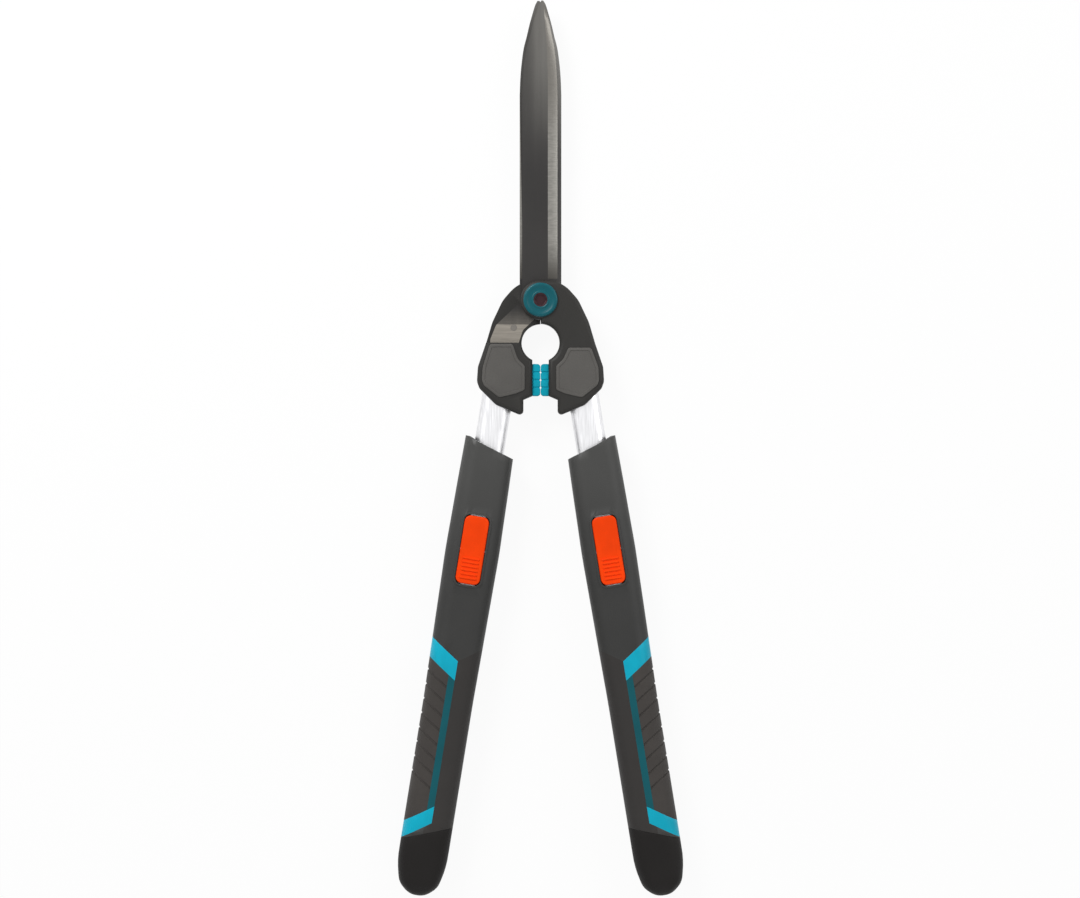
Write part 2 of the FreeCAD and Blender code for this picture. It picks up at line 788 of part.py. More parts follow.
def lock_button():
    """Rocker that a thumb presses at the end towards the hand."""
    top = grip_thickness + lock_proud
    low = top - lock_thickness
    plate = lock_slot(0.0, 0.0, low, top)
    plate = round_rims(plate, (top,), lock_edge_round)
    boss_length = lock_width - 2 * lock_side_gap
    boss = cross_pin(boss_length, pin_boss_radius, middle + pin_height)
    web = box(-boss_length / 2, boss_length / 2, -lock_station - pin_radius, -lock_station + pin_radius,
              middle + pin_height, low + overrun)
    whole = fuse([plate, boss, web])
    whole = whole.cut(cross_pin(pin_length, pin_radius + pin_clearance, middle + pin_height))
    peg_y, spring_y = -lock_station + peg_offset, -lock_station - spring_offset
    whole = whole.cut(post(peg_radius, low - overrun, low + peg_socket_depth, 0, peg_y))
    whole = whole.cut(post(spring_pocket_radius, low - overrun, low + spring_pocket_depth, 0, spring_y))
    return single(whole)


def lock_peg():
    """Steel peg that drops into a hole of the tube; drawn just clear of the tube."""
    low = grip_thickness + lock_proud - lock_thickness
    return post(peg_radius, tube_top + peg_clearance, low + peg_socket_depth, 0, -lock_station + peg_offset)


def lock_pin():
    return cross_pin(pin_length, pin_radius, middle + pin_height)


def coil_path(radius, height, turns):
    """Helix as a chain of arcs, a quarter of a turn each."""
    steps = int(round(turns * 4))

    def place(share):
        turn = 2 * math.pi * turns * share
        return V(radius * math.cos(turn), radius * math.sin(turn), height * share)

    places = [place(step / (2 * steps)) for step in range(2 * steps + 1)]
    arcs = [Part.Arc(*places[first:first + 3]).toShape() for first in range(0, 2 * steps, 2)]
    return Part.Wire(arcs)


def lock_spring():
    """Small coil spring between the bridge and the rocker."""
    low = tube_top + bridge_clearance + bridge_thickness
    high = grip_thickness + lock_proud - lock_thickness + spring_pocket_depth
    height = high - low - 2 * spring_wire_radius
    path = coil_path(spring_radius, height, spring_turns)
    start = path.Edges[0].Curve.tangent(path.Edges[0].FirstParameter)[0]
    section = Part.Wire(Part.makeCircle(spring_wire_radius, V(spring_radius, 0, 0), start))
    coil = path.makePipeShell([section], True, False)
    coil.translate(V(0, -lock_station - spring_offset, low + spring_wire_radius))
    return coil


def arm_pieces(side):
    """Pieces of one arm with their names; side is 1 for the right arm and -1 for the left."""
    name = "right" if side > 0 else "left"
    hub, short = hub_cover(), short_cover()
    front, back = (hub, short) if side > 0 else (flip_over(short), flip_over(hub))
    spaces = fuse([screw_space(*place) for place in head_screw_list(side)] + [buffer_hole(side)])
    rivet_group = rivets(side)
    front = single(front.cut(spaces).cut(rivet_group))
    back = single(back.cut(spaces).cut(rivet_group))
    screws = [screw(*place) for place in head_screw_list(side)]
    place_side = place_right if side > 0 else place_left
    return {
        name + "_head_front_cover": front,
        name + "_head_back_cover": back,
        name + "_head_screws": Part.Compound(screws[:-1]),
        name + "_tube_bolt": screws[-1],
        name + "_tang_rivets": rivet_group,
        name + "_buffer": buffer(side),
        name + "_inner_tube": place_side(inner_tube()),
        name + "_tube_plug": place_side(tube_plug()),
    }


def grip_pieces(shells):
    """Pieces of one grip in the handle frame, with their names after the side."""
    front, back = shells
    return {
        "_grip_front_shell": front,
        "_grip_back_shell": back,
        "_grip_screws": grip_screws(),
        "_guide_collar": guide_collar(),
        "_soft_insert": soft_insert(),
        "_insert_accent": insert_accent(),
        "_end_cap": end_cap(),
        "_end_cap_screw": cap_screw(),
        "_lock_pin": lock_pin(),
        "_lock_button": lock_button(),
        "_lock_peg": lock_peg(),
        "_lock_spring": lock_spring(),
    }


def all_pieces():
    pieces = {}
    upper = front_blade()
    pieces["front_blade"] = upper
    pieces["rear_blade"] = flip_over(upper)
    pieces["pivot_bolt"] = pivot_bolt()
    pieces["pivot_bush"] = pivot_bush()
    pieces["pivot_nut"] = pivot_nut()
    low, high = middle - bush_flat_length / 2, middle + bush_flat_length / 2
    pieces["pivot_front_washer"] = pivot_washer(high, high + pivot_washer_height)
    pieces["pivot_rear_washer"] = pivot_washer(low - pivot_washer_height, low)
    pieces["pivot_front_ring"] = pivot_cap_ring()
    pieces["pivot_rear_ring"] = flip_over(pivot_ring())
    pieces.update(arm_pieces(1))
    pieces.update(arm_pieces(-1))
    shells = grip_shells()
    for ending, shape in grip_pieces(shells).items():
        pieces["right" + ending] = place_right(shape)
        pieces["left" + ending] = place_left(shape)
    return pieces


os.makedirs("parts", exist_ok=True)
for node, shape in sorted(all_pieces().items()):
    shape.exportStep("parts/" + node + ".step")
    limits = shape.BoundBox
    print(node, len(shape.Solids), shape.isValid(), round(shape.Volume, 1),
          [round(value, 1) for value in (limits.XMin, limits.XMax, limits.YMin, limits.YMax,
                                         limits.ZMin, limits.ZMax)])
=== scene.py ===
"""Telescopic hedge shears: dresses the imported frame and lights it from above.

The shears lie closed and flat, blades along +Y, pivot at the origin. Lengths are metres.
"""

import json
import logging
import math
from dataclasses import dataclass
from enum import Enum
from functools import cache
from typing import Any, Callable, Iterable, Sequence

import bmesh
import bpy
from mathutils import Matrix, Vector

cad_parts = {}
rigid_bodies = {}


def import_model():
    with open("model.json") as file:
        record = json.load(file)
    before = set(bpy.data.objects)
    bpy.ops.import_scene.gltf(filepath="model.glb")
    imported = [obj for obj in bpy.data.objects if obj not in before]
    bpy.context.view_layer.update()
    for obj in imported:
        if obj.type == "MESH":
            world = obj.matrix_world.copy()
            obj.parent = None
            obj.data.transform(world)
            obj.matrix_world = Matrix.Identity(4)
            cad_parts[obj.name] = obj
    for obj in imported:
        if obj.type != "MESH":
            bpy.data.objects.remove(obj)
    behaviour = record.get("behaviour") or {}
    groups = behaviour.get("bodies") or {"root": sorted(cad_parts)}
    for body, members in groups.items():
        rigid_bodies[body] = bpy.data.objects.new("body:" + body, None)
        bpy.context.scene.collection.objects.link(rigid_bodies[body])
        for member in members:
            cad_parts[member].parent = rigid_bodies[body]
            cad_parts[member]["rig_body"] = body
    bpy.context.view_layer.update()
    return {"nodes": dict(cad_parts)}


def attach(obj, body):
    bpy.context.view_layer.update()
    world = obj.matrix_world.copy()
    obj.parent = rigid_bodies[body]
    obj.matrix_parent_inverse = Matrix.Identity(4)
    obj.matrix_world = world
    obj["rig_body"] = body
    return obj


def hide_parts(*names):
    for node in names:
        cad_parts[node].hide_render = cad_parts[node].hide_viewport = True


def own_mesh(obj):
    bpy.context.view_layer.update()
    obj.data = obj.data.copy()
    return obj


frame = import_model()

Point = tuple[float, float, float]
Colour = tuple[float, float, float, float]
Corners = Sequence[tuple[float, float, float]]
Pairs = Sequence[tuple[float, float]]
Piece = bpy.types.Object
Material = bpy.types.Material

MM = 0.001
MERGED = 0.004 * MM
SORTING_POINT: Point = (0.613, 1.271, 0.377)
LOG = logging.getLogger("shears")


class Side(Enum):
    """The two arms, with the sign of their X."""

    RIGHT = 1
    LEFT = -1

    @property
    def word(self) -> str:
        """The side's word in piece and node names."""
        return self.name.lower()


class Grain(Enum):
    """Directions in which a metal was ground or drawn."""

    ALONG = (1.0, 0.03, 1.0)
    EVEN = (1.0, 1.0, 1.0)


# Shader maths


def maths(operation: str, reflected: bool = False) -> Callable[["Flow", Any], "Flow"]:
    """Make an operator of a Flow out of a Math node.

    Args:
        operation: The node's operation.
        reflected: Whether the other value comes first.

    Returns:
        The operator.
    """
    def operator(flow: "Flow", other: Any) -> "Flow":
        first, second = (other, flow) if reflected else (flow, other)
        return flow.shader.output("ShaderNodeMath", 0, {0: first, 1: second}, operation=operation)
    return operator


@dataclass(frozen=True)
class Flow:
    """A value in a material, which takes part in Python expressions."""

    shader: "Shader"
    socket: Any

    __add__ = maths("ADD")
    __radd__ = maths("ADD", True)
    __sub__ = maths("SUBTRACT")
    __rsub__ = maths("SUBTRACT", True)
    __mul__ = maths("MULTIPLY")
    __rmul__ = maths("MULTIPLY", True)
    __gt__ = maths("GREATER_THAN")

    def within(self, low: float, high: float) -> "Flow":
        """Rise smoothly from 0 to 1 between two values."""
        return self.shader.output("ShaderNodeMapRange", 0, {0: self, 1: low, 2: high},
                                  interpolation_type="SMOOTHSTEP", clamp=True)


class Shader:
    """A node tree under construction, of a material or of the world."""

    def __init__(self, name: str, tree: Any = None) -> None:
        """Start a material, or go on in a tree that exists.

        Args:
            name: The material's name.
            tree: The tree to use, or none for a new material's.
        """
        self.material = None
        if tree is None:
            self.material = bpy.data.materials.new(name)
            self.material.use_nodes = True
            tree = self.material.node_tree
        self.tree = tree
        self.tree.nodes.clear()
        self.place = self.output("ShaderNodeTexCoord", "Object")

    def node(self, kind: str, inputs: dict[Any, Any], **settings: Any) -> Any:
        """Add a node.

        Args:
            kind: The node's type.
            inputs: Values or Flows by socket name or number.
            settings: Its attributes.

        Returns:
            The node.
        """
        made = self.tree.nodes.new(kind)
        for key, value in settings.items():
            setattr(made, key, value)
        for key, value in inputs.items():
            if isinstance(value, Flow):
                self.tree.links.new(value.socket, made.inputs[key])
            else:
                made.inputs[key].default_value = value
        return made

    def output(self, kind: str, socket: Any, inputs: dict[Any, Any] | None = None, **settings: Any) -> Flow:
        """Add a node and take its output of a name or number."""
        return Flow(self, self.node(kind, inputs or {}, **settings).outputs[socket])

    def noise(self, pitch: float, detail: float = 4.0, stretch: Point | None = None, turn: float = 0.0) -> Flow:
        """Fractal noise in object coordinates.

        Args:
            pitch: Size of its coarsest spots.
            detail: Octaves.
            stretch: Factors of the coordinates, or none to leave them.
            turn: Their angle about Z.

        Returns:
            A value about one half.
        """
        place = self.place
        if stretch:
            mapping = {"Vector": place, "Rotation": (0.0, 0.0, turn), "Scale": stretch}
            place = self.output("ShaderNodeMapping", "Vector", mapping)
        inputs = {"Vector": place, "Scale": 1.0 / pitch, "Detail": detail, "Roughness": 0.55}
        return self.output("ShaderNodeTexNoise", 0, inputs)

    def cells(self, pitch: float) -> Flow:
        """Distance to the nearest of scattered points, in units of their pitch."""
        return self.output("ShaderNodeTexVoronoi", "Distance", {"Vector": self.place, "Scale": 1.0 / pitch})

    def axis(self, letter: str) -> Flow:
        """The object coordinate X, Y or Z in metres."""
        return self.output("ShaderNodeSeparateXYZ", letter, {0: self.place})

    def blend(self, share: Any, first: Any, second: Any) -> Flow:
        """Mix a share of a second colour into a first."""
        return self.output("ShaderNodeMix", 2, {0: share, 6: first, 7: second}, data_type="RGBA")

    def toned(self, colour: Colour, share: Flow, tones: tuple[float, float],
              layers: Iterable[tuple[Flow, float]] = ()) -> Flow:
        """Colour between two of its tones, with layers of further tones.

        Args:
            colour: The colour.
            share: How much of the second tone.
            tones: Factors of both tones.
            layers: Share and factor of each further tone.

        Returns:
            The toned colour.
        """
        body = self.blend(share, shaded(colour, tones[0]), shaded(colour, tones[1]))
        for amount, factor in layers:
            body = self.blend(amount, body, shaded(colour, factor))
        return body

    def finish(self, body: Flow, rough: Flow, bumps: Iterable[tuple[Flow, float]],
               others: dict[str, Any]) -> Material:
        """Close the material with a Principled shader.

        Args:
            body: Its colour.
            rough: Its roughness.
            bumps: Heights between 0 and 1, each with its depth in metres.
            others: Further values or Flows by socket name.

        Returns:
            The material.
        """
        inputs = {"Base Color": body, "Roughness": rough, **others}
        for height, depth in bumps:
            below = {"Normal": inputs["Normal"]} if "Normal" in inputs else {}
            below.update({"Height": height, "Distance": depth, "Strength": 1.0})
            inputs["Normal"] = self.output("ShaderNodeBump", 0, below)
        surface = self.output("ShaderNodeBsdfPrincipled", 0, inputs)
        self.node("ShaderNodeOutputMaterial", {"Surface": surface})
        return self.material


def srgb(red: int, green: int, blue: int) -> Colour:
    """Turn a colour as it is seen, 0 to 255, into a linear one."""
    def linear(level: int) -> float:
        share = level / 255.0
        return share / 12.92 if share <= 0.04045 else ((share + 0.055) / 1.055) ** 2.4
    return linear(red), linear(green), linear(blue), 1.0


def shaded(colour: Colour, factor: float) -> Colour:
    """A lighter or darker tone of a colour."""
    return colour[0] * factor, colour[1] * factor, colour[2] * factor, 1.0


@dataclass(frozen=True)
class Finish:
    """A material of the shears."""

    name: str
    colour: Colour

    def make(self) -> Material:
        """Build the material."""
        raise NotImplementedError


@dataclass(frozen=True)
class MouldedPlastic(Finish):
    """Eroded-texture moulded plastic, with faint flow marks, rubbed edges that also carry a painted edge highlight,
    and, where set, painted light towards the blades.
    """

    roughness: float = 0.52
    grain_pitch: float = 0.55 * MM
    grain_depth: float = 0.035 * MM
    edge_light: float = 1.6
    coat: float = 0.0
    specular: float = 0.5
    # Painted light: factor of the lighter tone towards the blades, and the Y over which it rises.
    faded: float = 1.0
    faded_start: float = -235 * MM
    faded_end: float = -110 * MM

    def make(self) -> Material:
        """Build the material, with painted light that makes it paler towards the blades."""
        shader = Shader(self.name)
        clouds = shader.noise(38 * MM, 3.0)
        grain = shader.noise(self.grain_pitch, 3.0)
        pits = shader.cells(self.grain_pitch * 1.7).within(0.05, 0.55)
        flow = shader.noise(9 * MM, 5.0, (1.0, 0.22, 1.0))
        edge = shader.output("ShaderNodeNewGeometry", "Pointiness").within(0.53, 0.60)
        layers = [(flow.within(0.50, 0.75) * 0.35, 1.22), (grain.within(0.35, 0.65) * 0.30, 0.78)]
        # Painted light: the plastic is lighter towards the blades, as if lit from that end.
        if self.faded > 1.0:
            along = shader.axis("Y").within(self.faded_start, self.faded_end)
            layers.append((along * (0.9 + (clouds - 0.5) * 0.4), self.faded))
        # Painted highlight: convex edges are lighter by the factor edge_light, on top of their rubbed roughness.
        layers.append((edge * 0.55, self.edge_light))
        body = shader.toned(self.colour, clouds.within(0.3, 0.7), (0.90, 1.10), layers)
        rough = self.roughness + (flow - 0.5) * 0.14 + (grain - 0.5) * 0.10 - edge * 0.10
        bumps = [(pits, self.grain_depth), (grain, self.grain_depth * 0.6)]
        return shader.finish(body, rough, bumps, {
            "Coat Weight": self.coat, "Coat Roughness": 0.25, "Specular IOR Level": self.specular})


@dataclass(frozen=True)
class SoftRubber(Finish):
    """Matt elastomer with a velvet-fine grain and a little dust in it."""

    roughness: float = 0.74
    dust: float = 0.22
    sheen: float = 0.08
    specular: float = 0.4

    def make(self) -> Material:
        """Build the material."""
        shader = Shader(self.name)
        clouds = shader.noise(26 * MM, 4.0)
        grain = shader.noise(0.32 * MM, 2.0)
        pores = shader.cells(0.9 * MM).within(0.0, 0.35)
        dust = clouds.within(0.52, 0.78) * self.dust
        body = shader.toned(self.colour, clouds.within(0.3, 0.7), (0.92, 1.08),
                            [(dust, 1.45), ((1.0 - pores) * 0.35, 0.62)])
        rough = self.roughness + (grain - 0.5) * 0.16 - dust * 0.2
        return shader.finish(body, rough, [(pores, 0.05 * MM), (grain, 0.03 * MM)], {
            "Sheen Weight": self.sheen, "Sheen Roughness": 0.5, "Specular IOR Level": self.specular})


@dataclass(frozen=True)
class WorkedMetal(Finish):
    """Metal with the fine lines of its grinding or drawing."""

    roughness: float = 0.30
    grain: Grain = Grain.EVEN
    line_pitch: float = 0.9 * MM
    line_depth: float = 0.010 * MM
    metallic: float = 1.0

    def make(self) -> Material:
        """Build the material."""
        shader = Shader(self.name)
        lines = shader.noise(self.line_pitch, 6.0, self.grain.value)
        clouds = shader.noise(22 * MM, 3.0)
        body = shader.toned(self.colour, lines.within(0.30, 0.70), (0.80, 1.0),
                            [(clouds.within(0.45, 0.75) * 0.4, 0.88)])
        rough = self.roughness + (lines - 0.5) * 0.22 + (clouds - 0.5) * 0.10
        return shader.finish(body, rough, [(lines, self.line_depth)], {"Metallic": self.metallic})


@dataclass(frozen=True)
class BladeCoat(Finish):
    """Dark non-stick coating that ends at the tang, paler towards the tip and the cutting edge as a painted
    reflection.
    """

    worn: Colour
    bare: Colour
    coat_end: float
    tip_start: float
    tip_end: float
    rubbed_length: float = 14 * MM

    def make(self) -> Material:
        """Build the material."""
        shader = Shader(self.name)
        along = shader.axis("Y")
        flecks = shader.cells(0.45 * MM).within(0.02, 0.30)
        speck = shader.noise(0.25 * MM, 3.0)
        drawn = shader.noise(5 * MM, 6.0, (1.0, 0.05, 1.0))
        clouds = shader.noise(30 * MM, 3.0)
        lines = shader.noise(1.1 * MM, 6.0, (0.06, 1.0, 1.0), 0.55)
        # Painted reflection: the coat is blended into a paler tone towards the tip, more strongly towards the
        # cutting edge.
        across = shader.axis("X").within(-11.5 * MM, -1.0 * MM)
        painted_reflection = along.within(self.tip_start, self.tip_end) * (0.35 + across * 0.65)
        coat = shader.toned(self.colour, clouds.within(0.3, 0.7), (0.86, 1.12),
                            [(drawn.within(0.5, 0.8) * 0.35, 1.5), ((1.0 - flecks) * 0.25, 2.2)])
        coat = shader.blend(painted_reflection * (0.85 + (drawn - 0.5) * 0.6), coat, self.worn)
        steel = shader.toned(self.bare, lines.within(0.3, 0.7), (0.78, 1.0))
        bare = 1.0 - (along + (clouds - 0.5) * 3 * MM).within(self.coat_end - MM, self.coat_end)
        rubbed = (1.0 - along.within(self.coat_end, self.coat_end + self.rubbed_length)) * (0.2 + drawn * 0.2)
        body = shader.blend(bare, shader.blend(rubbed, coat, steel), steel)
        rough = (0.44 + (speck - 0.5) * 0.2) * (1.0 - bare) + (0.34 + (lines - 0.5) * 0.2) * bare
        metal = 0.25 * (1.0 - bare) + 0.95 * bare
        return shader.finish(body, rough, [(flecks, 0.014 * MM), (lines, 0.006 * MM)], {"Metallic": metal})


@dataclass(frozen=True)
class GroundBevel(Finish):
    """Bright steel with grinding lines across it, dull near the hub and towards the tip."""

    dull: Colour
    root_start: float
    root_end: float
    tip_start: float
    tip_end: float

    def make(self) -> Material:
        """Build the material."""
        shader = Shader(self.name)
        along = shader.axis("Y")
        lines = shader.noise(1.0 * MM, 6.0, (0.08, 1.0, 1.0))
        clouds = shader.noise(18 * MM, 3.0)
        rooted = along.within(self.root_start, self.root_end)
        towards_tip = along.within(self.tip_start, self.tip_end)
        body = shader.toned(self.colour, lines.within(0.30, 0.70), (0.80, 1.06),
                            [(clouds.within(0.45, 0.75) * 0.35, 0.85)])
        body = shader.blend(towards_tip * 0.85, body, self.dull)
        body = shader.blend(1.0 - rooted, body, shaded(self.dull, 0.45))
        rough = 0.36 + (lines - 0.5) * 0.22 + (1.0 - rooted) * 0.12
        return shader.finish(body, rough, [(lines, 0.008 * MM)], {"Metallic": 1.0})


# Modelling by hand


def clear_selection() -> None:
    """Deselect everything, in object mode."""
    if bpy.context.mode != "OBJECT":
        bpy.ops.object.mode_set(mode="OBJECT")
    bpy.ops.object.select_all(action="DESELECT")


def take_up(made: Piece) -> None:
    """Select one object alone and make it active, in object mode."""
    clear_selection()
    bpy.context.view_layer.objects.active = made
    made.select_set(True)


def middle_of(element: Any) -> Vector:
    """Centre of a vertex, edge or face."""
    if isinstance(element, bmesh.types.BMVert):
        return element.co
    corners = [vertex.co for vertex in element.verts]
    return sum(corners, Vector()) / len(corners)


class Work:
    """A piece under the hand: one mesh, shaped with Blender's own operators in edit mode."""

    def __init__(self, name: str, start: Callable[..., Any], **sizes: Any) -> None:
        """Add the primitive that the piece starts from, all of it selected.

        Args:
            name: The piece's name.
            start: The operator that adds the primitive.
            sizes: Its size and place.
        """
        clear_selection()
        start(**sizes)
        self.object = bpy.context.active_object
        self.object.name = self.object.data.name = name
        bpy.ops.object.transform_apply(location=True, rotation=True, scale=True)
        bpy.ops.object.mode_set(mode="EDIT")
        self.take_all()

    @classmethod
    def from_object(cls, made: Piece) -> "Work":
        """Take up an object that exists, in edit mode."""
        work = cls.__new__(cls)
        work.object = made
        take_up(made)
        bpy.ops.object.mode_set(mode="EDIT")
        return work

    def take_all(self) -> "Work":
        """Select everything."""
        bpy.ops.mesh.select_all(action="SELECT")
        return self

    def pick(self, kind: str, test: Callable[[Vector, Any], bool] | None = None) -> "Work":
        """Select the elements that pass a test.

        Args:
            kind: VERT, EDGE or FACE.
            test: Gets an element's centre and the element; none picks all.

        Returns:
            The piece.
        """
        bpy.ops.mesh.select_mode(type=kind)
        bpy.ops.mesh.select_all(action="DESELECT")
        mesh = bmesh.from_edit_mesh(self.object.data)
        mesh.normal_update()
        for element in {"VERT": mesh.verts, "EDGE": mesh.edges, "FACE": mesh.faces}[kind]:
            if test is None or test(middle_of(element), element):
                element.select_set(True)
        mesh.select_flush_mode()
        bmesh.update_edit_mesh(self.object.data)
        return self

    def extrude(self, offset: Point) -> "Work":
        """Extrude the selection by an offset."""
        bpy.ops.mesh.extrude_region_move(TRANSFORM_OT_translate={"value": offset})
        return self

    def scale(self, factors: Point, centre: Point = (0.0, 0.0, 0.0)) -> "Work":
        """Scale the selection about a point."""
        bpy.ops.transform.resize(value=factors, center_override=centre)
        return self

    def move(self, offset: Point) -> "Work":
        """Move the selection."""
        bpy.ops.transform.translate(value=offset)
        return self

    def inset(self, width: float, depth: float = 0.0) -> "Work":
        """Inset the selected faces."""
        bpy.ops.mesh.inset(thickness=width, depth=depth)
        return self

    def sink(self, depth: float) -> "Work":
        """Push the selection inwards along its normals."""
        bpy.ops.transform.shrink_fatten(value=-depth)
        return self

    def bevel(self, offset: float, segments: int, affect: str = "EDGES") -> "Work":
        """Bevel the selection."""
        bpy.ops.mesh.bevel(offset=offset, segments=segments, affect=affect, profile=0.5, clamp_overlap=True,
                           offset_type="OFFSET")
        return self

    def delete(self) -> "Work":
        """Delete the selected faces."""
        bpy.ops.mesh.delete(type="FACE")
        return self

    def score(self, point: Point, normal: Point, cut: bool = False) -> "Work":
        """Add edges all round where a plane meets the piece; a cut also takes off what lies beyond it."""
        self.take_all()
        bpy.ops.mesh.bisect(plane_co=point, plane_no=normal, use_fill=False, clear_outer=cut)
        return self

    def merge(self, distance: float = MERGED) -> "Work":
        """Merge doubles."""
        self.take_all()
        bpy.ops.mesh.remove_doubles(threshold=distance)
        return self

    def dissolve(self, degrees: float) -> "Work":
        """Take out the edges between faces that lie almost flat."""
        self.take_all()
        bpy.ops.mesh.dissolve_limited(angle_limit=math.radians(degrees))
        return self

    def modify(self, kind: str, **settings: Any) -> "Work":
        """Add a modifier of a kind and apply it, and go back to edit mode."""
        take_up(self.object)
        modifier = self.object.modifiers.new(kind.title(), kind)
        for key, value in settings.items():
            setattr(modifier, key, value)
        bpy.ops.object.modifier_apply(modifier=modifier.name)
        bpy.ops.object.mode_set(mode="EDIT")
        if kind in {"BOOLEAN", "BEVEL"}:
            self.sort()
        return self

    def sort(self) -> "Work":
        """Put the elements in the order of their distance from a far point, the same at every run."""
        bpy.context.scene.cursor.location = SORTING_POINT
        for kind in ("VERT", "EDGE", "FACE"):
            bpy.ops.mesh.select_mode(type=kind)
            self.take_all()
            bpy.ops.mesh.sort_elements(type="CURSOR_DISTANCE", elements={kind})
        bpy.context.scene.cursor.location = (0.0, 0.0, 0.0)
        return self

    def combine(self, operation: str, *others: Piece) -> "Work":
        """Join other pieces or take them away, and scrap them.

        Args:
            operation: UNION, DIFFERENCE or INTERSECT.
            others: The other pieces.

        Returns:
            The piece.
        """
        for other in others:
            self.modify("BOOLEAN", object=other, operation=operation, solver="EXACT")
            scrap(other)
        return self

    def thicken(self, wall: float, **settings: Any) -> "Work":
        """Give a skin its wall, inwards."""
        return self.modify("SOLIDIFY", thickness=wall, offset=-1.0, **settings)

    def soften(self, width: float, degrees: float, segments: int = 2) -> "Work":
        """Round the edges that are sharper than an angle."""
        return self.modify("BEVEL", width=width, segments=segments, limit_method="ANGLE",
                           angle_limit=math.radians(degrees), use_clamp_overlap=True)

    def paint(self, slot: int) -> "Work":
        """Give the selected faces a material slot."""
        mesh = bmesh.from_edit_mesh(self.object.data)
        for face in mesh.faces:
            if face.select:
                face.material_index = slot
        bmesh.update_edit_mesh(self.object.data)
        return self

    def done(self, smooth: float = 32.0, merge: float = MERGED) -> Piece:
        """Merge doubles, turn the faces outwards and shade the piece.

        Args:
            smooth: Degrees up to which an edge is shaded smooth.
            merge: Distance up to which vertices are merged.

        Returns:
            The finished object.
        """
        bpy.ops.mesh.select_mode(type="FACE")
        self.merge(merge).take_all()
        bpy.ops.mesh.normals_make_consistent(inside=False)
        take_up(self.object)
        bpy.ops.object.shade_smooth_by_angle(angle=math.radians(smooth))
        return self.object


def rounded_bar(name: str, width: float, height: float, corner: float, segments: int,
                stations: Corners, level: float) -> Work:
    """Bar of rounded section along -Y, shaped station by station.

    Args:
        name: The piece's name.
        width: Width of the section.
        height: Height of the section.
        corner: Radius of its corners.
        segments: Facets in each corner.
        stations: Y and the factors of width and height there.
        level: Z of the bar's middle.

    Returns:
        The piece, closed at both ends.
    """
    here, wide, tall = stations[0]
    work = Work(name, bpy.ops.mesh.primitive_plane_add, size=1.0, rotation=(math.pi / 2, 0.0, 0.0))
    work.scale((width, 1.0, height))
    work.pick("VERT").bevel(corner, segments, "VERTICES")
    work.pick("FACE").move((0.0, here, level)).scale((wide, 1.0, tall), (0.0, here, level))
    for along, next_wide, next_tall in stations[1:]:
        work.extrude((0.0, along - here, 0.0))
        work.scale((next_wide / wide, 1.0, next_tall / tall), (0.0, along, level))
        here, wide, tall = along, next_wide, next_tall
    return work


def outline_plate(name: str, corners: Corners, low: float, high: float, rim: float = 0.0, segments: int = 6,
                  rim_segments: int = 3) -> Work:
    """Plate of any rounded outline with rounded rims, from a curve drawn flat.

    Args:
        name: The piece's name.
        corners: X, Y and radius of the outline's corners.
        low: Z of its underside.
        high: Z of its top.
        rim: Radius of both rims.
        segments: Facets in each corner.
        rim_segments: Facets in each rim.

    Returns:
        The piece.
    """
    curve = bpy.data.curves.new(name, "CURVE")
    curve.dimensions = "2D"
    curve.fill_mode = "BOTH"
    curve.extrude = (high - low) / 2 - rim
    curve.bevel_depth = rim
    curve.bevel_resolution = rim_segments
    curve.offset = -rim
    points = rounded_points(corners, segments)
    spline = curve.splines.new("POLY")
    spline.points.add(len(points) - 1)
    for point, (x, y) in zip(spline.points, points):
        point.co = (x, y, 0.0, 1.0)
    spline.use_cyclic_u = True
    made = bpy.data.objects.new(name, curve)
    bpy.context.scene.collection.objects.link(made)
    take_up(made)
    bpy.ops.object.convert(target="MESH")
    made = bpy.context.active_object
    made.data.transform(Matrix.Translation((0.0, 0.0, (low + high) / 2)))
    return Work.from_object(made).merge()


def rounded_points(corners: Corners, segments: int) -> list[tuple[float, float]]:
    """Outline points from corners with tangent arcs.

    Args:
        corners: X, Y and radius of each corner.
        segments: Facets in each arc.

    Returns:
        The points.
    """
    points = []
    for index, (x, y, radius) in enumerate(corners):
        here = Vector((x, y))
        back = (Vector(corners[index - 1][:2]) - here).normalized()
        ahead = (Vector(corners[(index + 1) % len(corners)][:2]) - here).normalized()
        opening = back.angle(ahead)
        if radius <= 0.0 or abs(opening - math.pi) < 1e-5:
            points.append((x, y))
            continue
        trim = radius / math.tan(opening / 2)
        centre = here + (back + ahead).normalized() * (radius / math.sin(opening / 2))
        start = here + back * trim - centre
        sweep = start.angle_signed(here + ahead * trim - centre)
        steps = max(1, math.ceil(segments * abs(sweep) / (math.pi / 2)))
        for step in range(steps + 1):
            turn = -sweep * step / steps
            arm = Vector((start.x * math.cos(turn) - start.y * math.sin(turn),
                          start.x * math.sin(turn) + start.y * math.cos(turn)))
            points.append(tuple(centre + arm))
    return points


def smooth_steps(stops: Pairs, places: Sequence[float]) -> list[float]:
    """Read a smooth line through stops, which never swings past them.

    Args:
        stops: Places in rising order and the values there.
        places: Where to read it.

    Returns:
        The values.
    """
    slopes = [(b[1] - a[1]) / (b[0] - a[0]) for a, b in zip(stops, stops[1:])]
    tangents = [slopes[0]]
    for before, after in zip(slopes, slopes[1:]):
        tangents.append(0.0 if before * after <= 0.0 else 2.0 * before * after / (before + after))
    tangents.append(slopes[-1])
    values = []
    for place in places:
        place = min(max(place, stops[0][0]), stops[-1][0])
        index = max(i for i in range(len(slopes)) if stops[i][0] <= place or i == 0)
        (x0, y0), (x1, y1) = stops[index], stops[index + 1]
        span = x1 - x0
        t = (place - x0) / span
        values.append((1 + 2 * t) * (1 - t) ** 2 * y0 + t * (1 - t) ** 2 * span * tangents[index]
                      + t * t * (3 - 2 * t) * y1 + t * t * (t - 1) * span * tangents[index + 1])
    return values


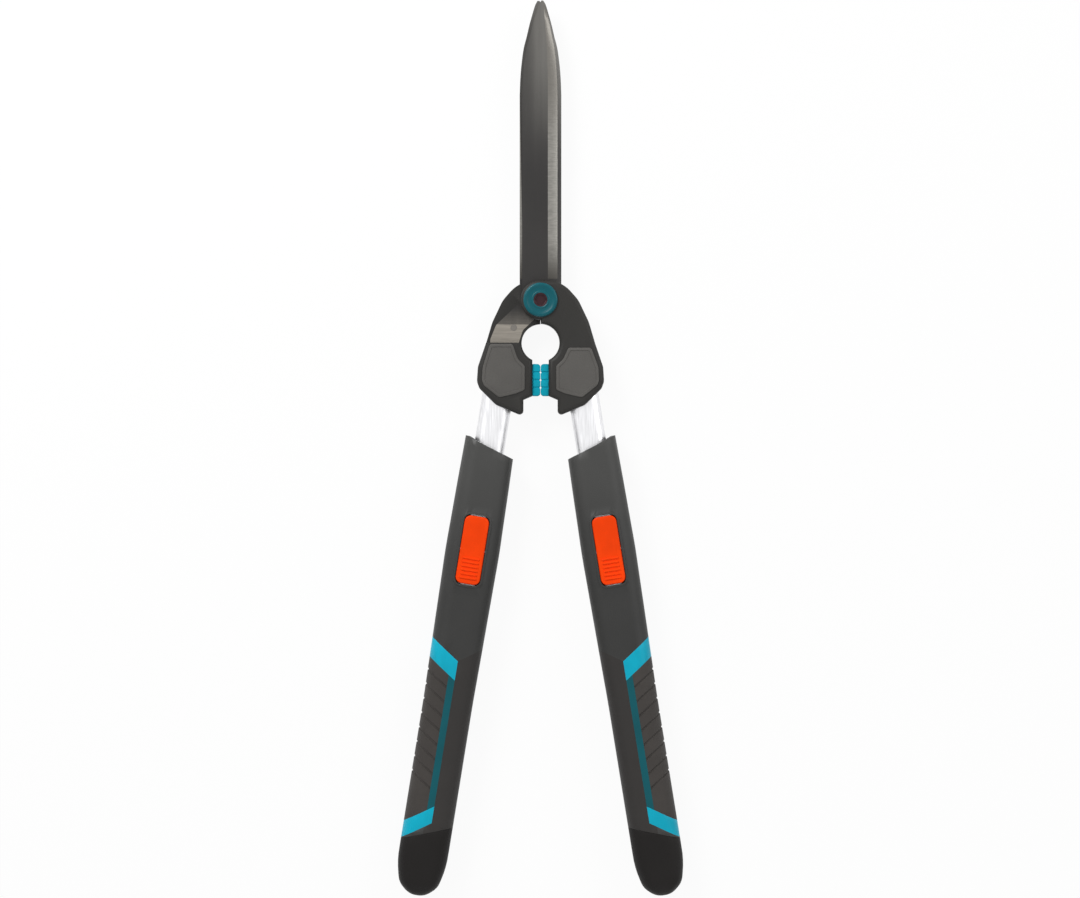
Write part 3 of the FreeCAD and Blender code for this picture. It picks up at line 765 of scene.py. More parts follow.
def turned(name: str, rows: Pairs, facets: int = 72) -> Work:
    """Round piece about the Z axis, drawn out of a circle row by row.

    Args:
        name: The piece's name.
        rows: Radius and Z of each ring; a radius of zero closes the piece there.
        facets: Facets round it.

    Returns:
        The piece; a last row equal to the first makes a ring.
    """
    first = 1 if rows[0][0] == 0.0 else 0
    radius, height = rows[first]
    work = Work(name, bpy.ops.mesh.primitive_circle_add, vertices=facets, radius=radius,
                fill_type="NGON" if first else "NOTHING", location=(0.0, 0.0, 0.0))
    work.move((0.0, 0.0, height))
    if first:
        work.pick("EDGE")
    for next_radius, next_height in rows[first + 1:]:
        bpy.ops.mesh.extrude_edges_move()
        work.move((0.0, 0.0, next_height - height))
        if next_radius == 0.0:
            bpy.ops.mesh.merge(type="CENTER")
            break
        factor = next_radius / radius
        work.scale((factor, factor, 1.0), (0.0, 0.0, next_height))
        radius, height = next_radius, next_height
    return work


def pin(radius: float, low: float, high: float, x: float = 0.0, y: float = 0.0, facets: int = 40) -> Piece:
    """Upright round block, to cut or join with.

    Args:
        radius: Its radius.
        low: Z of its underside.
        high: Z of its top.
        x: X of its axis.
        y: Y of its axis.
        facets: Facets round it.

    Returns:
        The block.
    """
    made = turned("pin", ((0.0, low), (radius, low), (radius, high), (0.0, high)), facets).done()
    made.data.transform(Matrix.Translation((x, y, 0.0)))
    return made


def cross_pin(radius: float, length: float, centre: Point) -> Piece:
    """Round block along X, to join with."""
    return Work("cross_pin", bpy.ops.mesh.primitive_cylinder_add, vertices=32, radius=radius, depth=length,
                location=centre, rotation=(0.0, math.pi / 2, 0.0)).done()


# The workshop: placing, dressing and reporting pieces


LINE_DEPTH = 0.006 * MM
FINISHES: tuple[Finish, ...] = (
    # The blade coat's third colour is the tone of its painted reflection near the tip.
    BladeCoat("blade_coat", srgb(36, 34, 33), srgb(108, 106, 102), srgb(152, 146, 137), -18.5 * MM, 95 * MM,
              215 * MM),
    GroundBevel("ground_steel", srgb(138, 136, 131), srgb(112, 109, 104), 14 * MM, 52 * MM, 110 * MM, 170 * MM),
    MouldedPlastic("head_plastic", srgb(43, 42, 40), specular=0.25),
    MouldedPlastic("panel_plastic", srgb(80, 78, 75), 0.58, 0.8 * MM, 0.05 * MM, 1.3, specular=0.4),
    # The grip plastic carries painted light, paler towards the blades.
    MouldedPlastic("grip_plastic", srgb(44, 44, 43), specular=0.35, faded=2.15),
    # Painted shade: darker finish on the inner side of the grip shells' lower end.
    SoftRubber("lower_grip", srgb(31, 28, 26), 0.66, 0.12),
    SoftRubber("soft_rubber", srgb(54, 50, 47)),
    MouldedPlastic("cap_plastic", srgb(28, 26, 25), 0.58, specular=0.16),
    MouldedPlastic("guide_plastic", srgb(26, 26, 26), 0.44),
    MouldedPlastic("petrol_plastic", srgb(0, 86, 96), 0.34, 0.5 * MM, 0.01 * MM, 1.2, 0.1, 0.18),
    MouldedPlastic("accent_plastic", srgb(10, 178, 206), 0.40, 0.5 * MM, 0.012 * MM, 1.15, 0.0, 0.2),
    SoftRubber("buffer_rubber", srgb(2, 156, 178), 0.66, 0.04, 0.02, 0.15),
    MouldedPlastic("button_plastic", srgb(255, 70, 8), 0.42, 0.5 * MM, 0.012 * MM, 1.1, 0.0, 0.1),
    WorkedMetal("tube_aluminium", srgb(244, 244, 246), 0.36, Grain.ALONG, 0.8 * MM, LINE_DEPTH),
    WorkedMetal("black_steel", srgb(46, 44, 44), 0.38, Grain.EVEN, 0.5 * MM, LINE_DEPTH, 0.9),
    WorkedMetal("blued_steel", srgb(64, 44, 48), 0.38, Grain.EVEN, 0.5 * MM, LINE_DEPTH, 0.9),
    WorkedMetal("zinc_steel", srgb(176, 180, 184), 0.34, Grain.EVEN, 0.7 * MM, LINE_DEPTH),
    WorkedMetal("rivet_steel", srgb(126, 122, 117), 0.42, Grain.EVEN, 0.7 * MM, LINE_DEPTH),
    WorkedMetal("bush_bronze", srgb(150, 112, 62), 0.34, Grain.EVEN, 0.7 * MM, 0.004 * MM),
)


@cache
def finish_named(name: str) -> Material:
    """Make one of the finishes, at its first use."""
    return next(finish for finish in FINISHES if finish.name == name).make()


def across_pivot(side: Side) -> Matrix:
    """Where the right side's things go: they stay, or are mirrored for the left."""
    return Matrix.Scale(float(side.value), 4, (1.0, 0.0, 0.0))


@dataclass(frozen=True)
class Handle:
    """The frame of a handle: X across it and outwards, its axis along -Y."""

    tilt: float = math.radians(9.2)
    offset: float = 21.2 * MM

    def matrix(self, side: Side) -> Matrix:
        """Where a handle's frame lies, mirrored for the left arm."""
        right = Matrix.Rotation(self.tilt, 4, "Z") @ Matrix.Translation((self.offset, 0.0, 0.0))
        return across_pivot(side) @ right


MIDDLE = 16.0 * MM
AXLE = Matrix.Translation((0.0, 0.0, MIDDLE))
FLIP = AXLE @ Matrix.Rotation(math.pi, 4, "Y") @ AXLE.inverted()
UNDER = AXLE @ Matrix.Scale(-1.0, 4, (0.0, 0.0, 1.0)) @ AXLE.inverted()


def duplicate(source: Piece, name: str) -> Piece:
    """Copy an object with its own mesh, free of its parent and its properties."""
    take_up(source)
    bpy.ops.object.duplicate(linked=False)
    copy = bpy.context.active_object
    copy.parent = None
    copy.matrix_world = Matrix.Identity(4)
    copy.name = copy.data.name = name
    for key in [key for key in copy.keys() if key.startswith("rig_")]:
        del copy[key]
    return copy


def placed(model: Piece, name: str, matrix: Matrix) -> Piece:
    """Copy a model to its place in the shears.

    Args:
        model: The model.
        name: The copy's name.
        matrix: Where it goes; a mirrored one turns the faces outwards again.

    Returns:
        The copy, with its place in its mesh.
    """
    copy = duplicate(model, name)
    copy.data.transform(matrix)
    if matrix.determinant() < 0.0:
        copy.data.flip_normals()
    return copy


def scrap(model: Piece) -> None:
    """Remove a model that has been used."""
    bpy.data.objects.remove(model, do_unlink=True)


def give_slots(piece: Piece, materials: Sequence[Material]) -> None:
    """Replace a piece's materials, with each face in the slot that it has."""
    painted = [face.material_index for face in piece.data.polygons]
    piece.data.materials.clear()
    for material in materials:
        piece.data.materials.append(material)
    piece.data.polygons.foreach_set("material_index", painted)
    piece.data.update()


def dress(piece: Piece, body: str, slot: str, finishes: str, *nodes: str) -> Piece:
    """Give a finished piece its finish and body.

    Args:
        piece: The piece.
        body: The body that it rides on.
        slot: The record's material slot; not used.
        finishes: Names of its materials, in the order of its mesh's slots.
        nodes: The CAD nodes that it stands for.

    Returns:
        The piece.
    """
    give_slots(piece, [finish_named(name) for name in finishes.split()])
    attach(piece, body)
    if nodes:
        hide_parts(*nodes)
    LOG.info("%s rides on %s, %d faces", piece.name, body, len(piece.data.polygons))
    return piece


def dress_both(model: Piece, name: str, body: str, slot: str, finishes: str, node: str,
               place: Callable[[Side], Matrix] = Handle().matrix) -> None:
    """Place a model on both sides, dress the copies and scrap it.

    Args:
        model: The model of the right side's piece.
        name: Name of a copy, after its side.
        body: The body that a copy rides on, after its side.
        slot: The record's material slot.
        finishes: Names of its materials.
        node: The CAD node that a copy stands for, after its side.
        place: Where a side's copy goes.
    """
    for side in Side:
        dress(placed(model, f"{side.word}_{name}", place(side)), f"{side.word}_{body}", slot, finishes,
              f"{side.word}_{node}")
    scrap(model)


def recast(node: str, name: str, edge: float = 0.0) -> Piece:
    """Merged, smoothly shaded copy of a CAD node, with softened edges.

    Args:
        node: The CAD node.
        name: The copy's name.
        edge: Width of the softened edges.

    Returns:
        The copy.
    """
    work = Work.from_object(duplicate(frame["nodes"][node], name)).merge()
    bpy.ops.mesh.customdata_custom_splitnormals_clear()
    work.dissolve(1.0)
    if edge > 0.0:
        work.soften(edge, 40.0)
    return work.done()


@dataclass
class Studio:
    """White surroundings, soft lamps and the camera straight above."""

    view_width: float = 0.8504
    distance: float = 3.2
    centre: tuple[float, float] = (-0.0004, -0.1165)
    sensor: float = 36.0
    sky: float = 0.34
    floor_glow: float = 0.93
    lamps: tuple[tuple[str, Point, float, float], ...] = (
        ("key", (-0.8, 1.0, 1.05), 0.7, 20.5), ("fill", (1.4, 0.5, 1.1), 1.0, 9.0),
        ("back", (0.1, -1.9, 1.2), 1.2, 6.0))
    aim: Point = (0.0, -0.1, 0.0)
    floor_half: float = 6.0

    def build(self) -> None:
        """Make the camera, world, lamps and floor."""
        bpy.context.scene.view_settings.view_transform = "Standard"
        self._camera()
        self._world()
        self._lamps()
        self._floor()

    def _camera(self) -> None:
        """Long lens, looking straight down."""
        data = bpy.data.cameras.new("camera")
        data.sensor_width = self.sensor
        data.lens = self.sensor * self.distance / self.view_width
        data.clip_end = 50.0
        camera = bpy.data.objects.new("camera", data)
        camera.location = (*self.centre, self.distance)
        bpy.context.scene.collection.objects.link(camera)
        bpy.context.scene.camera = camera

    def _world(self) -> None:
        """World that is white to look at and softer as a light."""
        world = bpy.data.worlds.new("surroundings")
        world.use_nodes = True
        bpy.context.scene.world = world
        sky = Shader("surroundings", world.node_tree)
        seen = self._seen(sky)
        background = sky.output("ShaderNodeBackground", 0,
                                {"Color": (1.0, 1.0, 1.0, 1.0), "Strength": self.sky + seen * (1.0 - self.sky)})
        sky.node("ShaderNodeOutputWorld", {"Surface": background})

    @staticmethod
    def _seen(shader: Shader) -> Flow:
        """One for rays that look at something, straight or through a reflection."""
        rays = shader.node("ShaderNodeLightPath", {})
        camera, glossy, through = (Flow(shader, rays.outputs[name])
                                   for name in ("Is Camera Ray", "Is Glossy Ray", "Is Transmission Ray"))
        return (camera + glossy + through) > 0.5

    def _lamps(self) -> None:
        """Large soft lamps round the table."""
        for name, place, size, power in self.lamps:
            data = bpy.data.lights.new(name, "AREA")
            data.size = size
            data.energy = power
            lamp = bpy.data.objects.new(name, data)
            lamp.location = place
            aim = Vector(self.aim) - Vector(place)
            lamp.rotation_euler = aim.to_track_quat("-Z", "Y").to_euler()
            bpy.context.scene.collection.objects.link(lamp)

    def _floor(self) -> None:
        """White floor that keeps a soft shadow."""
        clear_selection()
        bpy.ops.mesh.primitive_grid_add(size=2 * self.floor_half, x_subdivisions=2, y_subdivisions=2)
        floor = bpy.context.active_object
        floor.name = "studio_floor"
        shader = Shader("floor")
        matt = shader.output("ShaderNodeBsdfDiffuse", 0, {"Color": (0.96, 0.96, 0.96, 1.0)})
        glow = shader.output("ShaderNodeEmission", 0, {"Color": (1.0, 1.0, 1.0, 1.0), "Strength": 1.0})
        share = self._seen(shader) * self.floor_glow
        both = shader.output("ShaderNodeMixShader", 0, {0: share, 1: matt, 2: glow})
        shader.node("ShaderNodeOutputMaterial", {"Surface": both})
        floor.data.materials.append(shader.material)


class Assembly:
    """Pieces that are made together."""

    def build(self) -> None:
        """Model the pieces, and place and dress them."""
        raise NotImplementedError


@dataclass
class Blade(Assembly):
    """One flat steel blade with its hub and tang, modelled on the front of the right arm."""

    reach: float = 234.6 * MM
    thickness: float = 3.2 * MM
    level: float = 16.05 * MM
    edge: float = 16.3 * MM
    spine: float = -14.4 * MM
    bevel_start: float = 5.8 * MM
    honed_start: float = 13.3 * MM
    honed_drop: float = 0.5 * MM
    root_start: float = 16.8 * MM
    land: float = 0.5 * MM
    tip_x: float = 1.6 * MM
    tip_length: float = 74.0 * MM
    tip_power: float = 1.35
    tip_rows: int = 22
    hub: float = 15.6 * MM
    bore: float = 7.06 * MM
    tip_shares: Pairs = (
        (0.0, 0.05), (0.035, 0.155), (0.14, 0.32), (0.25, 0.475), (0.385, 0.635), (0.50, 0.785), (0.64, 0.885),
        (0.76, 0.945), (0.88, 0.98), (1.0, 1.0))
    tang: Pairs = (
        (17.9, -3.2), (34.8, -19.3), (39.7, -31.3), (36.8, -46.0), (21.9, -46.0), (16.7, -32.2), (13.9, -23.5),
        (3.0, -13.3))
    tang_round: float = 5.0 * MM
    rivets: Pairs = ((20.9, -21.4), (28.8, -36.4))
    rivet_radius: float = 2.56 * MM
    edge_round: float = 0.16 * MM
    near: float = 0.02 * MM
    strip_slack: float = 0.4 * MM

    def build(self) -> None:
        """Model the blade once and place it on both arms."""
        model = self._model()
        for name, body, node, matrix in (("blade_front", "right_arm", "front_blade", Matrix.Identity(4)),
                                         ("blade_rear", "left_arm", "rear_blade", FLIP)):
            dress(placed(model, name, matrix), body, "coated_steel", "blade_coat ground_steel", node)
        scrap(model)

    def _model(self) -> Piece:
        """Draw the blade out of a plane, station by station, and join the tang to it."""
        straight = self.reach - self.tip_length
        work = Work("blade_model", bpy.ops.mesh.primitive_plane_add, size=1.0)
        work.scale((self.edge - self.spine, straight, 1.0))
        work.move(((self.edge + self.spine) / 2, straight / 2, self.level))
        for across in (self.bevel_start, self.honed_start):
            work.score((across, 0.0, 0.0), (1.0, 0.0, 0.0))
        work.pick("EDGE", lambda place, edge: abs(place.y - straight) < 1e-6)
        places = [(1.0 - row / self.tip_rows) ** self.tip_power for row in range(self.tip_rows + 1)]
        rows = list(zip(places, smooth_steps(self.tip_shares, places)))
        for (last_place, last_share), (place, share) in zip(rows, rows[1:]):
            work.extrude((0.0, (last_place - place) * self.tip_length, 0.0))
            work.scale((share / last_share, 1.0, 1.0), (self.tip_x, 0.0, self.level))
        work.take_all().extrude((0.0, 0.0, self.thickness))
        top = self.level + self.thickness
        work.pick("VERT", lambda place, vertex: self._on_line(place, self.edge))
        work.move((0.0, 0.0, self.land - self.thickness))
        work.pick("VERT", lambda place, vertex: self._on_line(place, self.honed_start))
        run = (self.honed_start - self.bevel_start) / (self.edge - self.bevel_start)
        work.move((0.0, 0.0, self.honed_drop - (self.thickness - self.land) * run))
        work.done()
        corners = [(0.0, 0.0, 0.0)] + [(x * MM, y * MM, self.tang_round) for x, y in self.tang]
        work.combine("UNION", pin(self.hub, self.level, top, facets=72),
                     outline_plate("tang_blank", corners, self.level, top, segments=5).done())
        for x, y, radius in [(0.0, 0.0, self.bore)] + [(x * MM, y * MM, self.rivet_radius) for x, y in self.rivets]:
            work.combine("DIFFERENCE", pin(radius, 0.0, 2 * top, x, y))
        work.dissolve(0.5).soften(self.edge_round, 10.0)
        work.score((0.0, self.root_start, 0.0), (0.0, 1.0, 0.0))
        work.pick("FACE", self._is_ground).paint(1)
        return work.done(24.0, MM / 1000)

    def _line_at(self, across: float, along: float) -> float:
        """X of a line that follows the blade's outline into the tip."""
        return self.tip_x + (across - self.tip_x) * self._share_at(along)

    def _on_line(self, place: Vector, across: float) -> bool:
        """Whether a vertex of the upper side is on such a line."""
        return (place.z > self.level + self.thickness / 2
                and abs(place.x - self._line_at(across, place.y)) < self.near)

    def _share_at(self, along: float) -> float:
        """Share of the full width at a distance from the pivot."""
        return smooth_steps(self.tip_shares, [(self.reach - along) / self.tip_length])[0]

    def _is_ground(self, place: Vector, face: Any) -> bool:
        """Whether a face belongs to the ground bevel or to the flat side's strip along the edge."""
        honed = self._line_at(self.honed_start, place.y)
        bevel = self._line_at(self.bevel_start, place.y)
        if place.y < self.root_start:
            return False
        if face.normal.z < -0.5:
            return place.x > honed - self.strip_slack
        return bevel < place.x < honed and face.normal.x > 0.08


@dataclass
class Pivot(Assembly):
    """Bolt, coloured rings and nut at the joint of the two arms.

    A section gives each corner's distance outwards from a radius and upwards from a level, in millimetres.
    """

    ring_outer: float = 13.4 * MM
    ring_inner: float = 9.4 * MM
    ring_low: float = 26.0 * MM
    ring_top: float = 29.4 * MM
    lip_low: float = 29.8 * MM
    lip_top: float = 30.7 * MM
    opening: float = 5.43 * MM
    bolt_radius: float = 5.0 * MM
    bolt_low: float = 1.6 * MM
    head_radius: float = 8.9 * MM
    head_low: float = 27.2 * MM
    head_top: float = 29.6 * MM
    socket: float = 8.0 * MM
    socket_depth: float = 2.2 * MM
    nut_flats: float = 16.0 * MM
    nut_height: float = 4.8 * MM
    nut_room: float = 6.0 * MM
    nut_area: float = 50 * MM * MM
    nut_face: float = 2.2 * MM
    nut_step: float = 0.25 * MM
    socket_round: float = 0.25 * MM
    crown: Pairs = ((0.0, -1.1), (-0.25, -0.55), (-0.8, -0.15), (-1.5, 0.0))
    groove: Pairs = (
        (1.5, -0.1), (1.3, -0.45), (1.0, -0.45), (0.8, -0.15), (0.3, -0.35), (0.0, -0.9))
    cap_crown: Pairs = (
        (0.0, -1.2), (-0.25, -0.6), (-0.8, -0.18), (-1.5, 0.0), (-2.6, 0.0), (-3.0, -0.3))
    bead: Pairs = ((1.7, -0.38), (1.3, -0.05), (0.5, -0.05), (0.0, -0.4))
    chamfer: Pairs = ((-1.5, -1.0), (-0.9, 0.0), (0.4, 1.3))
    head_crown: Pairs = ((0.0, -1.0), (-0.3, -0.35), (-1.0, -0.05), (-1.6, 0.0))

    def build(self) -> None:
        """Model the pieces and place the plain ring at the back."""
        outer, inner, low = self.ring_outer, self.ring_inner, self.ring_low
        rows = ((outer, low), *self._section(outer, self.lip_top, self.cap_crown),
                *self._section(self.opening, self.lip_top, self.bead), (self.opening, self.lip_low),
                (inner, self.lip_low), (inner, low), (outer, low))
        dress(turned("pivot_ring_front", rows, 96).done(40.0), "right_arm", "teal_plastic", "petrol_plastic",
              "pivot_front_ring")
        rows = ((outer, low), *self._section(outer, self.ring_top, self.crown),
                *self._section(inner, self.ring_top, self.groove), (inner, low), (outer, low))
        ring = turned("ring_model", rows, 96).done(40.0)
        dress(placed(ring, "pivot_ring_rear", FLIP), "left_arm", "teal_plastic", "petrol_plastic",
              "pivot_rear_ring")
        scrap(ring)
        dress(self._bolt(), "left_arm", "black_steel", "blued_steel", "pivot_bolt")
        dress(self._nut(), "left_arm", "black_steel", "black_steel", "pivot_nut")

    @staticmethod
    def _section(radius: float, level: float, corners: Pairs) -> list[tuple[float, float]]:
        """Radius and Z of a section's corners."""
        return [(radius + out * MM, level + up * MM) for out, up in corners]

    def _bolt(self) -> Piece:
        """Flat-headed bolt with a hexagonal socket."""
        radius, low, top = self.head_radius, self.head_low, self.head_top
        work = turned("bolt", ((0.0, self.bolt_low), (self.bolt_radius, self.bolt_low), (self.bolt_radius, low),
                               (radius, low), *self._section(radius, top, self.head_crown), (0.0, top)), 64)
        work.done()
        work.combine("DIFFERENCE", self._hexagon("socket_blank", self.socket, top - self.socket_depth, top + MM))
        return work.soften(self.socket_round, 50.0).done(35.0)

    def _nut(self) -> Piece:
        """Closed nut with chamfered corners and a turned face on its underside."""
        work = Work.from_object(self._hexagon("nut", self.nut_flats, 0.0, self.nut_height))
        slope = self._section(self.nut_flats / math.sqrt(3.0), 0.0, self.chamfer)
        work.combine("INTERSECT", turned("chamfer_blank", (
            (0.0, slope[0][1]), *slope, (slope[-1][0], self.nut_room), (0.0, self.nut_room)), 64).done())
        work.pick("FACE", lambda place, face: face.normal.z < -0.9 and face.calc_area() > self.nut_area)
        work.inset(self.nut_face).inset(self.nut_step, -self.nut_step)
        work.combine("DIFFERENCE", pin(self.bolt_radius, self.bolt_low, self.nut_room, facets=48))
        return work.done(30.0)

    @staticmethod
    def _hexagon(name: str, flats: float, low: float, high: float) -> Piece:
        """Upright hexagonal block on the pivot axis."""
        return Work(name, bpy.ops.mesh.primitive_cylinder_add, vertices=6, radius=flats / math.sqrt(3.0),
                    depth=high - low, location=(0.0, 0.0, (low + high) / 2),
                    rotation=(0.0, 0.0, math.pi / 6)).done(20.0)


@dataclass
class Telescope(Assembly):
    """The two light-metal tubes that slide in the grips."""

    width: float = 24.0 * MM
    height: float = 16.0 * MM
    corner: float = 7.4 * MM
    wall: float = 1.8 * MM
    level: float = 16.0 * MM
    start: float = 53.0 * MM
    end: float = 436.0 * MM
    first_hole: float = 183.4 * MM
    hole_pitch: float = 50.0 * MM
    hole_count: int = 5
    hole_radius: float = 3.0 * MM
    rim_round: float = 0.3 * MM

    def build(self) -> None:
        """Model the tube once, with the row of lock holes in its upper wall, and place it on both arms."""
        work = rounded_bar("tube_model", self.width, self.height, self.corner, 10,
                           ((-self.start, 1.0, 1.0), (-self.end, 1.0, 1.0)), self.level)
        work.pick("FACE", lambda place, face: abs(face.normal.y) > 0.9).delete()
        work.done()
        work.thicken(self.wall, use_even_offset=True)
        for index in range(self.hole_count):
            along = self.first_hole + index * self.hole_pitch
            work.combine("DIFFERENCE", pin(self.hole_radius, self.level, 2 * self.level, 0.0, -along))
        work.soften(self.rim_round, 50.0)
        dress_both(work.done(30.0), "tube", "arm", "tube_aluminium", "tube_aluminium", "inner_tube")


@dataclass(frozen=True)
class Slant:
    """A straight line across the grip's plan: its station on the axis and how it runs outwards."""

    station: float
    slope: float

    def at(self, across: float) -> float:
        """The line's station at a distance from the axis."""
        return self.station + self.slope * across

    @property
    def point(self) -> Point:
        """A point of the upright plane through the line."""
        return 0.0, -self.station, 0.0

    def hand(self, sign: float = 1.0) -> Point:
        """The plane's normal, towards the hand, or with -1 towards the blades."""
        return -sign * self.slope, -sign, 0.0


@dataclass
class Grip(Assembly):
    """One grip: two half shells, soft pad, coloured outline and end cap, cut from one skin."""

    half_width: float = 19.4 * MM
    thickness: float = 32.0 * MM
    corner: float = 12.0 * MM
    wall: float = 3.2 * MM
    pad_wall: float = 2.4 * MM
    mouth: Slant = Slant(120.0 * MM, -math.tan(math.radians(18.0)))
    cap: Slant = Slant(425.0 * MM, math.tan(math.radians(20.0)))
    upper: Slant = Slant(286.87 * MM, -0.6787)
    upper_inner: Slant = Slant(302.10 * MM, -0.6787)
    lower_inner: Slant = Slant(405.18 * MM, 0.6787)
    lower: Slant = Slant(418.43 * MM, 0.6787)
    # Painted shade begins at this line on the inner side of the shells.
    soft_start: Slant = Slant(290.53 * MM, 0.6787)
    line_inner: float = -2.7 * MM
    line_outer: float = 2.7 * MM
    groove_pitch: float = 11.4 * MM
    groove_width: float = 2.4 * MM
    groove_depth: float = 0.7 * MM
    groove_count: int = 8
    first_groove: float = 311.0 * MM
    groove_shares: tuple[float, float] = (0.25, 0.75)
    skin_start: float = 112.0 * MM
    row_pitch: float = 9.0 * MM
    straight_end: float = 445.0 * MM
    width_stops: Pairs = (
        (109.0, 19.50), (130.0, 19.92), (152.0, 20.37), (180.0, 20.79), (203.0, 21.14), (225.0, 20.84),
        (251.7, 20.47), (300.0, 19.75), (323.0, 19.42), (350.0, 19.40), (440.0, 19.40))
    end_rows: Corners = (
        (445.0, 19.33, 16.0), (450.0, 18.92, 16.0), (455.0, 18.16, 16.0), (460.0, 17.05, 16.0),
        (463.0, 16.30, 15.98), (465.0, 15.62, 15.83), (467.0, 14.55, 15.33), (469.0, 12.95, 14.44),
        (470.5, 11.37, 13.44), (472.0, 9.70, 12.04), (473.0, 8.30, 10.76), (474.0, 6.50, 9.0),
        (474.6, 4.85, 7.4), (474.95, 3.2, 5.85), (475.09, 1.8, 4.5))
    slot_gap: tuple[float, float] = (0.4 * MM, 1.0 * MM)
    slot_levels: tuple[float, float] = (25.4 * MM, 40.0 * MM)
    frame_gap: tuple[float, float] = (2.1 * MM, 2.7 * MM)
    frame_levels: tuple[float, float] = (30.0 * MM, 32.7 * MM)
    frame_rim: float = 0.55 * MM
    shell_edge: float = 0.45 * MM
    outline_edge: float = 0.35 * MM
    pad_edge: float = 0.4 * MM
    cap_edge: float = 0.6 * MM
    outward: float = 8.0 * MM
    well_radius: float = 3.1 * MM
    well_depth: float = 5.27 * MM
    well_across: float = 15.4 * MM
    well_start: float = 120.0
    well_span: float = 355.1
    wells: tuple[tuple[float, int], ...] = ((0.093, -1), (0.093, 1), (0.371, -1), (0.371, 1), (0.6, -1), (0.77, -1))

    def build(self) -> None:
        """Model every part once and place it on both handles."""
        skin = self._skin()
        outline = Lock().outline
        opening = outline_plate("lock_slot", outline(*self.slot_gap), *self.slot_levels).done()
        surround = outline_plate("lock_frame", outline(*self.frame_gap), *self.frame_levels, self.frame_rim).done()
        wells = self._screw_wells()
        rows = (
            ("grip_front", "grip_front_shell", "grip_plastic", "grip_plastic lower_grip", self.shell_edge,
             self._shell(skin, True).combine("UNION", surround).combine("DIFFERENCE", opening)),
            ("grip_back", "grip_back_shell", "grip_plastic", "grip_plastic lower_grip", self.shell_edge,
             self._shell(skin, False).combine("DIFFERENCE", wells)),
            ("outline", "insert_accent", "teal_plastic", "accent_plastic petrol_plastic", self.outline_edge,
             self._outline(skin)),
            ("pad", "soft_insert", "soft_grip", "soft_rubber", self.pad_edge, self._grooved(skin)),
            ("cap", "end_cap", "cap_plastic", "cap_plastic", self.cap_edge,
             self._piece(skin, "cap_model", self._in_cap).thicken(self.wall)),
        )
        for name, node, slot, finishes, edge, work in rows:
            work.soften(edge, 55.0, 3)
            if name == "pad":
                self._sink_grooves(work)
            dress_both(work.done(40.0), name, "grip", slot, finishes, node)
        scrap(skin)

    def _skin(self) -> Piece:
        """Outer surface of the grip, drawn out along the handle and scored where its parts meet."""
        full, half = self.half_width, self.thickness / 2
        places = []
        station = self.skin_start
        while station < self.straight_end - self.row_pitch / 2:
            places.append(station)
            station += self.row_pitch
        stops = [(place * MM, width * MM) for place, width in self.width_stops]
        stations = [(-place, width / full, 1.0) for place, width in zip(places, smooth_steps(stops, places))]
        stations += [(-place * MM, width * MM / full, height * MM / half) for place, width, height in self.end_rows]
        work = rounded_bar("grip_skin", 2 * full, self.thickness, self.corner, 8, stations, half)
        work.pick("FACE", lambda place, face: face.normal.y > 0.9).delete()
        work.score(self.mouth.point, self.mouth.hand(-1.0), True)
        for line in (self.cap, self.upper, self.upper_inner, self.lower_inner, self.lower, self.soft_start):
            work.score(line.point, line.hand())
        for across in (self.line_inner, self.line_outer):
            work.score((across, 0.0, 0.0), (1.0, 0.0, 0.0))
        work.score((0.0, 0.0, half), (0.0, 0.0, 1.0))
        return work.done(40.0)

    @staticmethod
    def _piece(skin: Piece, name: str, keep: Callable[[Vector], bool]) -> Work:
        """Copy the skin and keep the faces whose centres pass a test."""
        work = Work.from_object(duplicate(skin, name))
        return work.pick("FACE", lambda place, face: not keep(place)).delete()

    def _within(self, place: Vector) -> bool:
        """Whether a place of the skin belongs to the pad or its coloured outline."""
        along = -place.y
        return place.x > self.line_inner and self.upper.at(place.x) < along < self.lower.at(place.x)

    def _in_pad(self, place: Vector) -> bool:
        """Whether a place of the skin belongs to the pad."""
        along = -place.y
        return place.x > self.line_outer and self.upper_inner.at(place.x) < along < self.lower_inner.at(place.x)

    def _in_cap(self, place: Vector) -> bool:
        """Whether a place of the skin belongs to the end cap."""
        return -place.y > self.cap.at(place.x)

    def _shell(self, skin: Piece, front: bool) -> Work:
        """One half shell with its wall, the inner side of its lower end painted darker as painted shade."""
        half = self.thickness / 2
        work = self._piece(skin, "shell_model", lambda place: (place.z > half) is front
                           and not self._within(place) and not self._in_cap(place))
        # Painted shade: the inner side below that line gets the darker finish.
        work.pick("FACE", lambda place, face: -place.y > self.soft_start.at(place.x) and place.x < 0.0).paint(1)
        return work.thicken(self.wall)

    def _outline(self, skin: Piece) -> Work:
        """Coloured outline of the pad: two broad ends and the darker line between them."""
        work = self._piece(skin, "outline_model", lambda place: self._within(place) and not self._in_pad(place))
        work.pick("FACE", lambda place, face: self.upper_inner.at(place.x) < -place.y
                  < self.lower_inner.at(place.x)).paint(1)
        return work.thicken(self.pad_wall)

    def _grooves(self) -> list[Slant]:
        """Lines of the pad's grooves."""
        return [Slant(self.first_groove + index * self.groove_pitch, self.upper.slope)
                for index in range(self.groove_count)]

    def _grooved(self, skin: Piece) -> Work:
        """Soft pad, scored where its slanted grooves come."""
        work = self._piece(skin, "pad_model", self._in_pad)
        for groove in self._grooves():
            for share in (0.0, *self.groove_shares, 1.0):
                line = Slant(groove.station + self.groove_width * share, groove.slope)
                work.score(line.point, line.hand())
        return work.thicken(self.pad_wall)

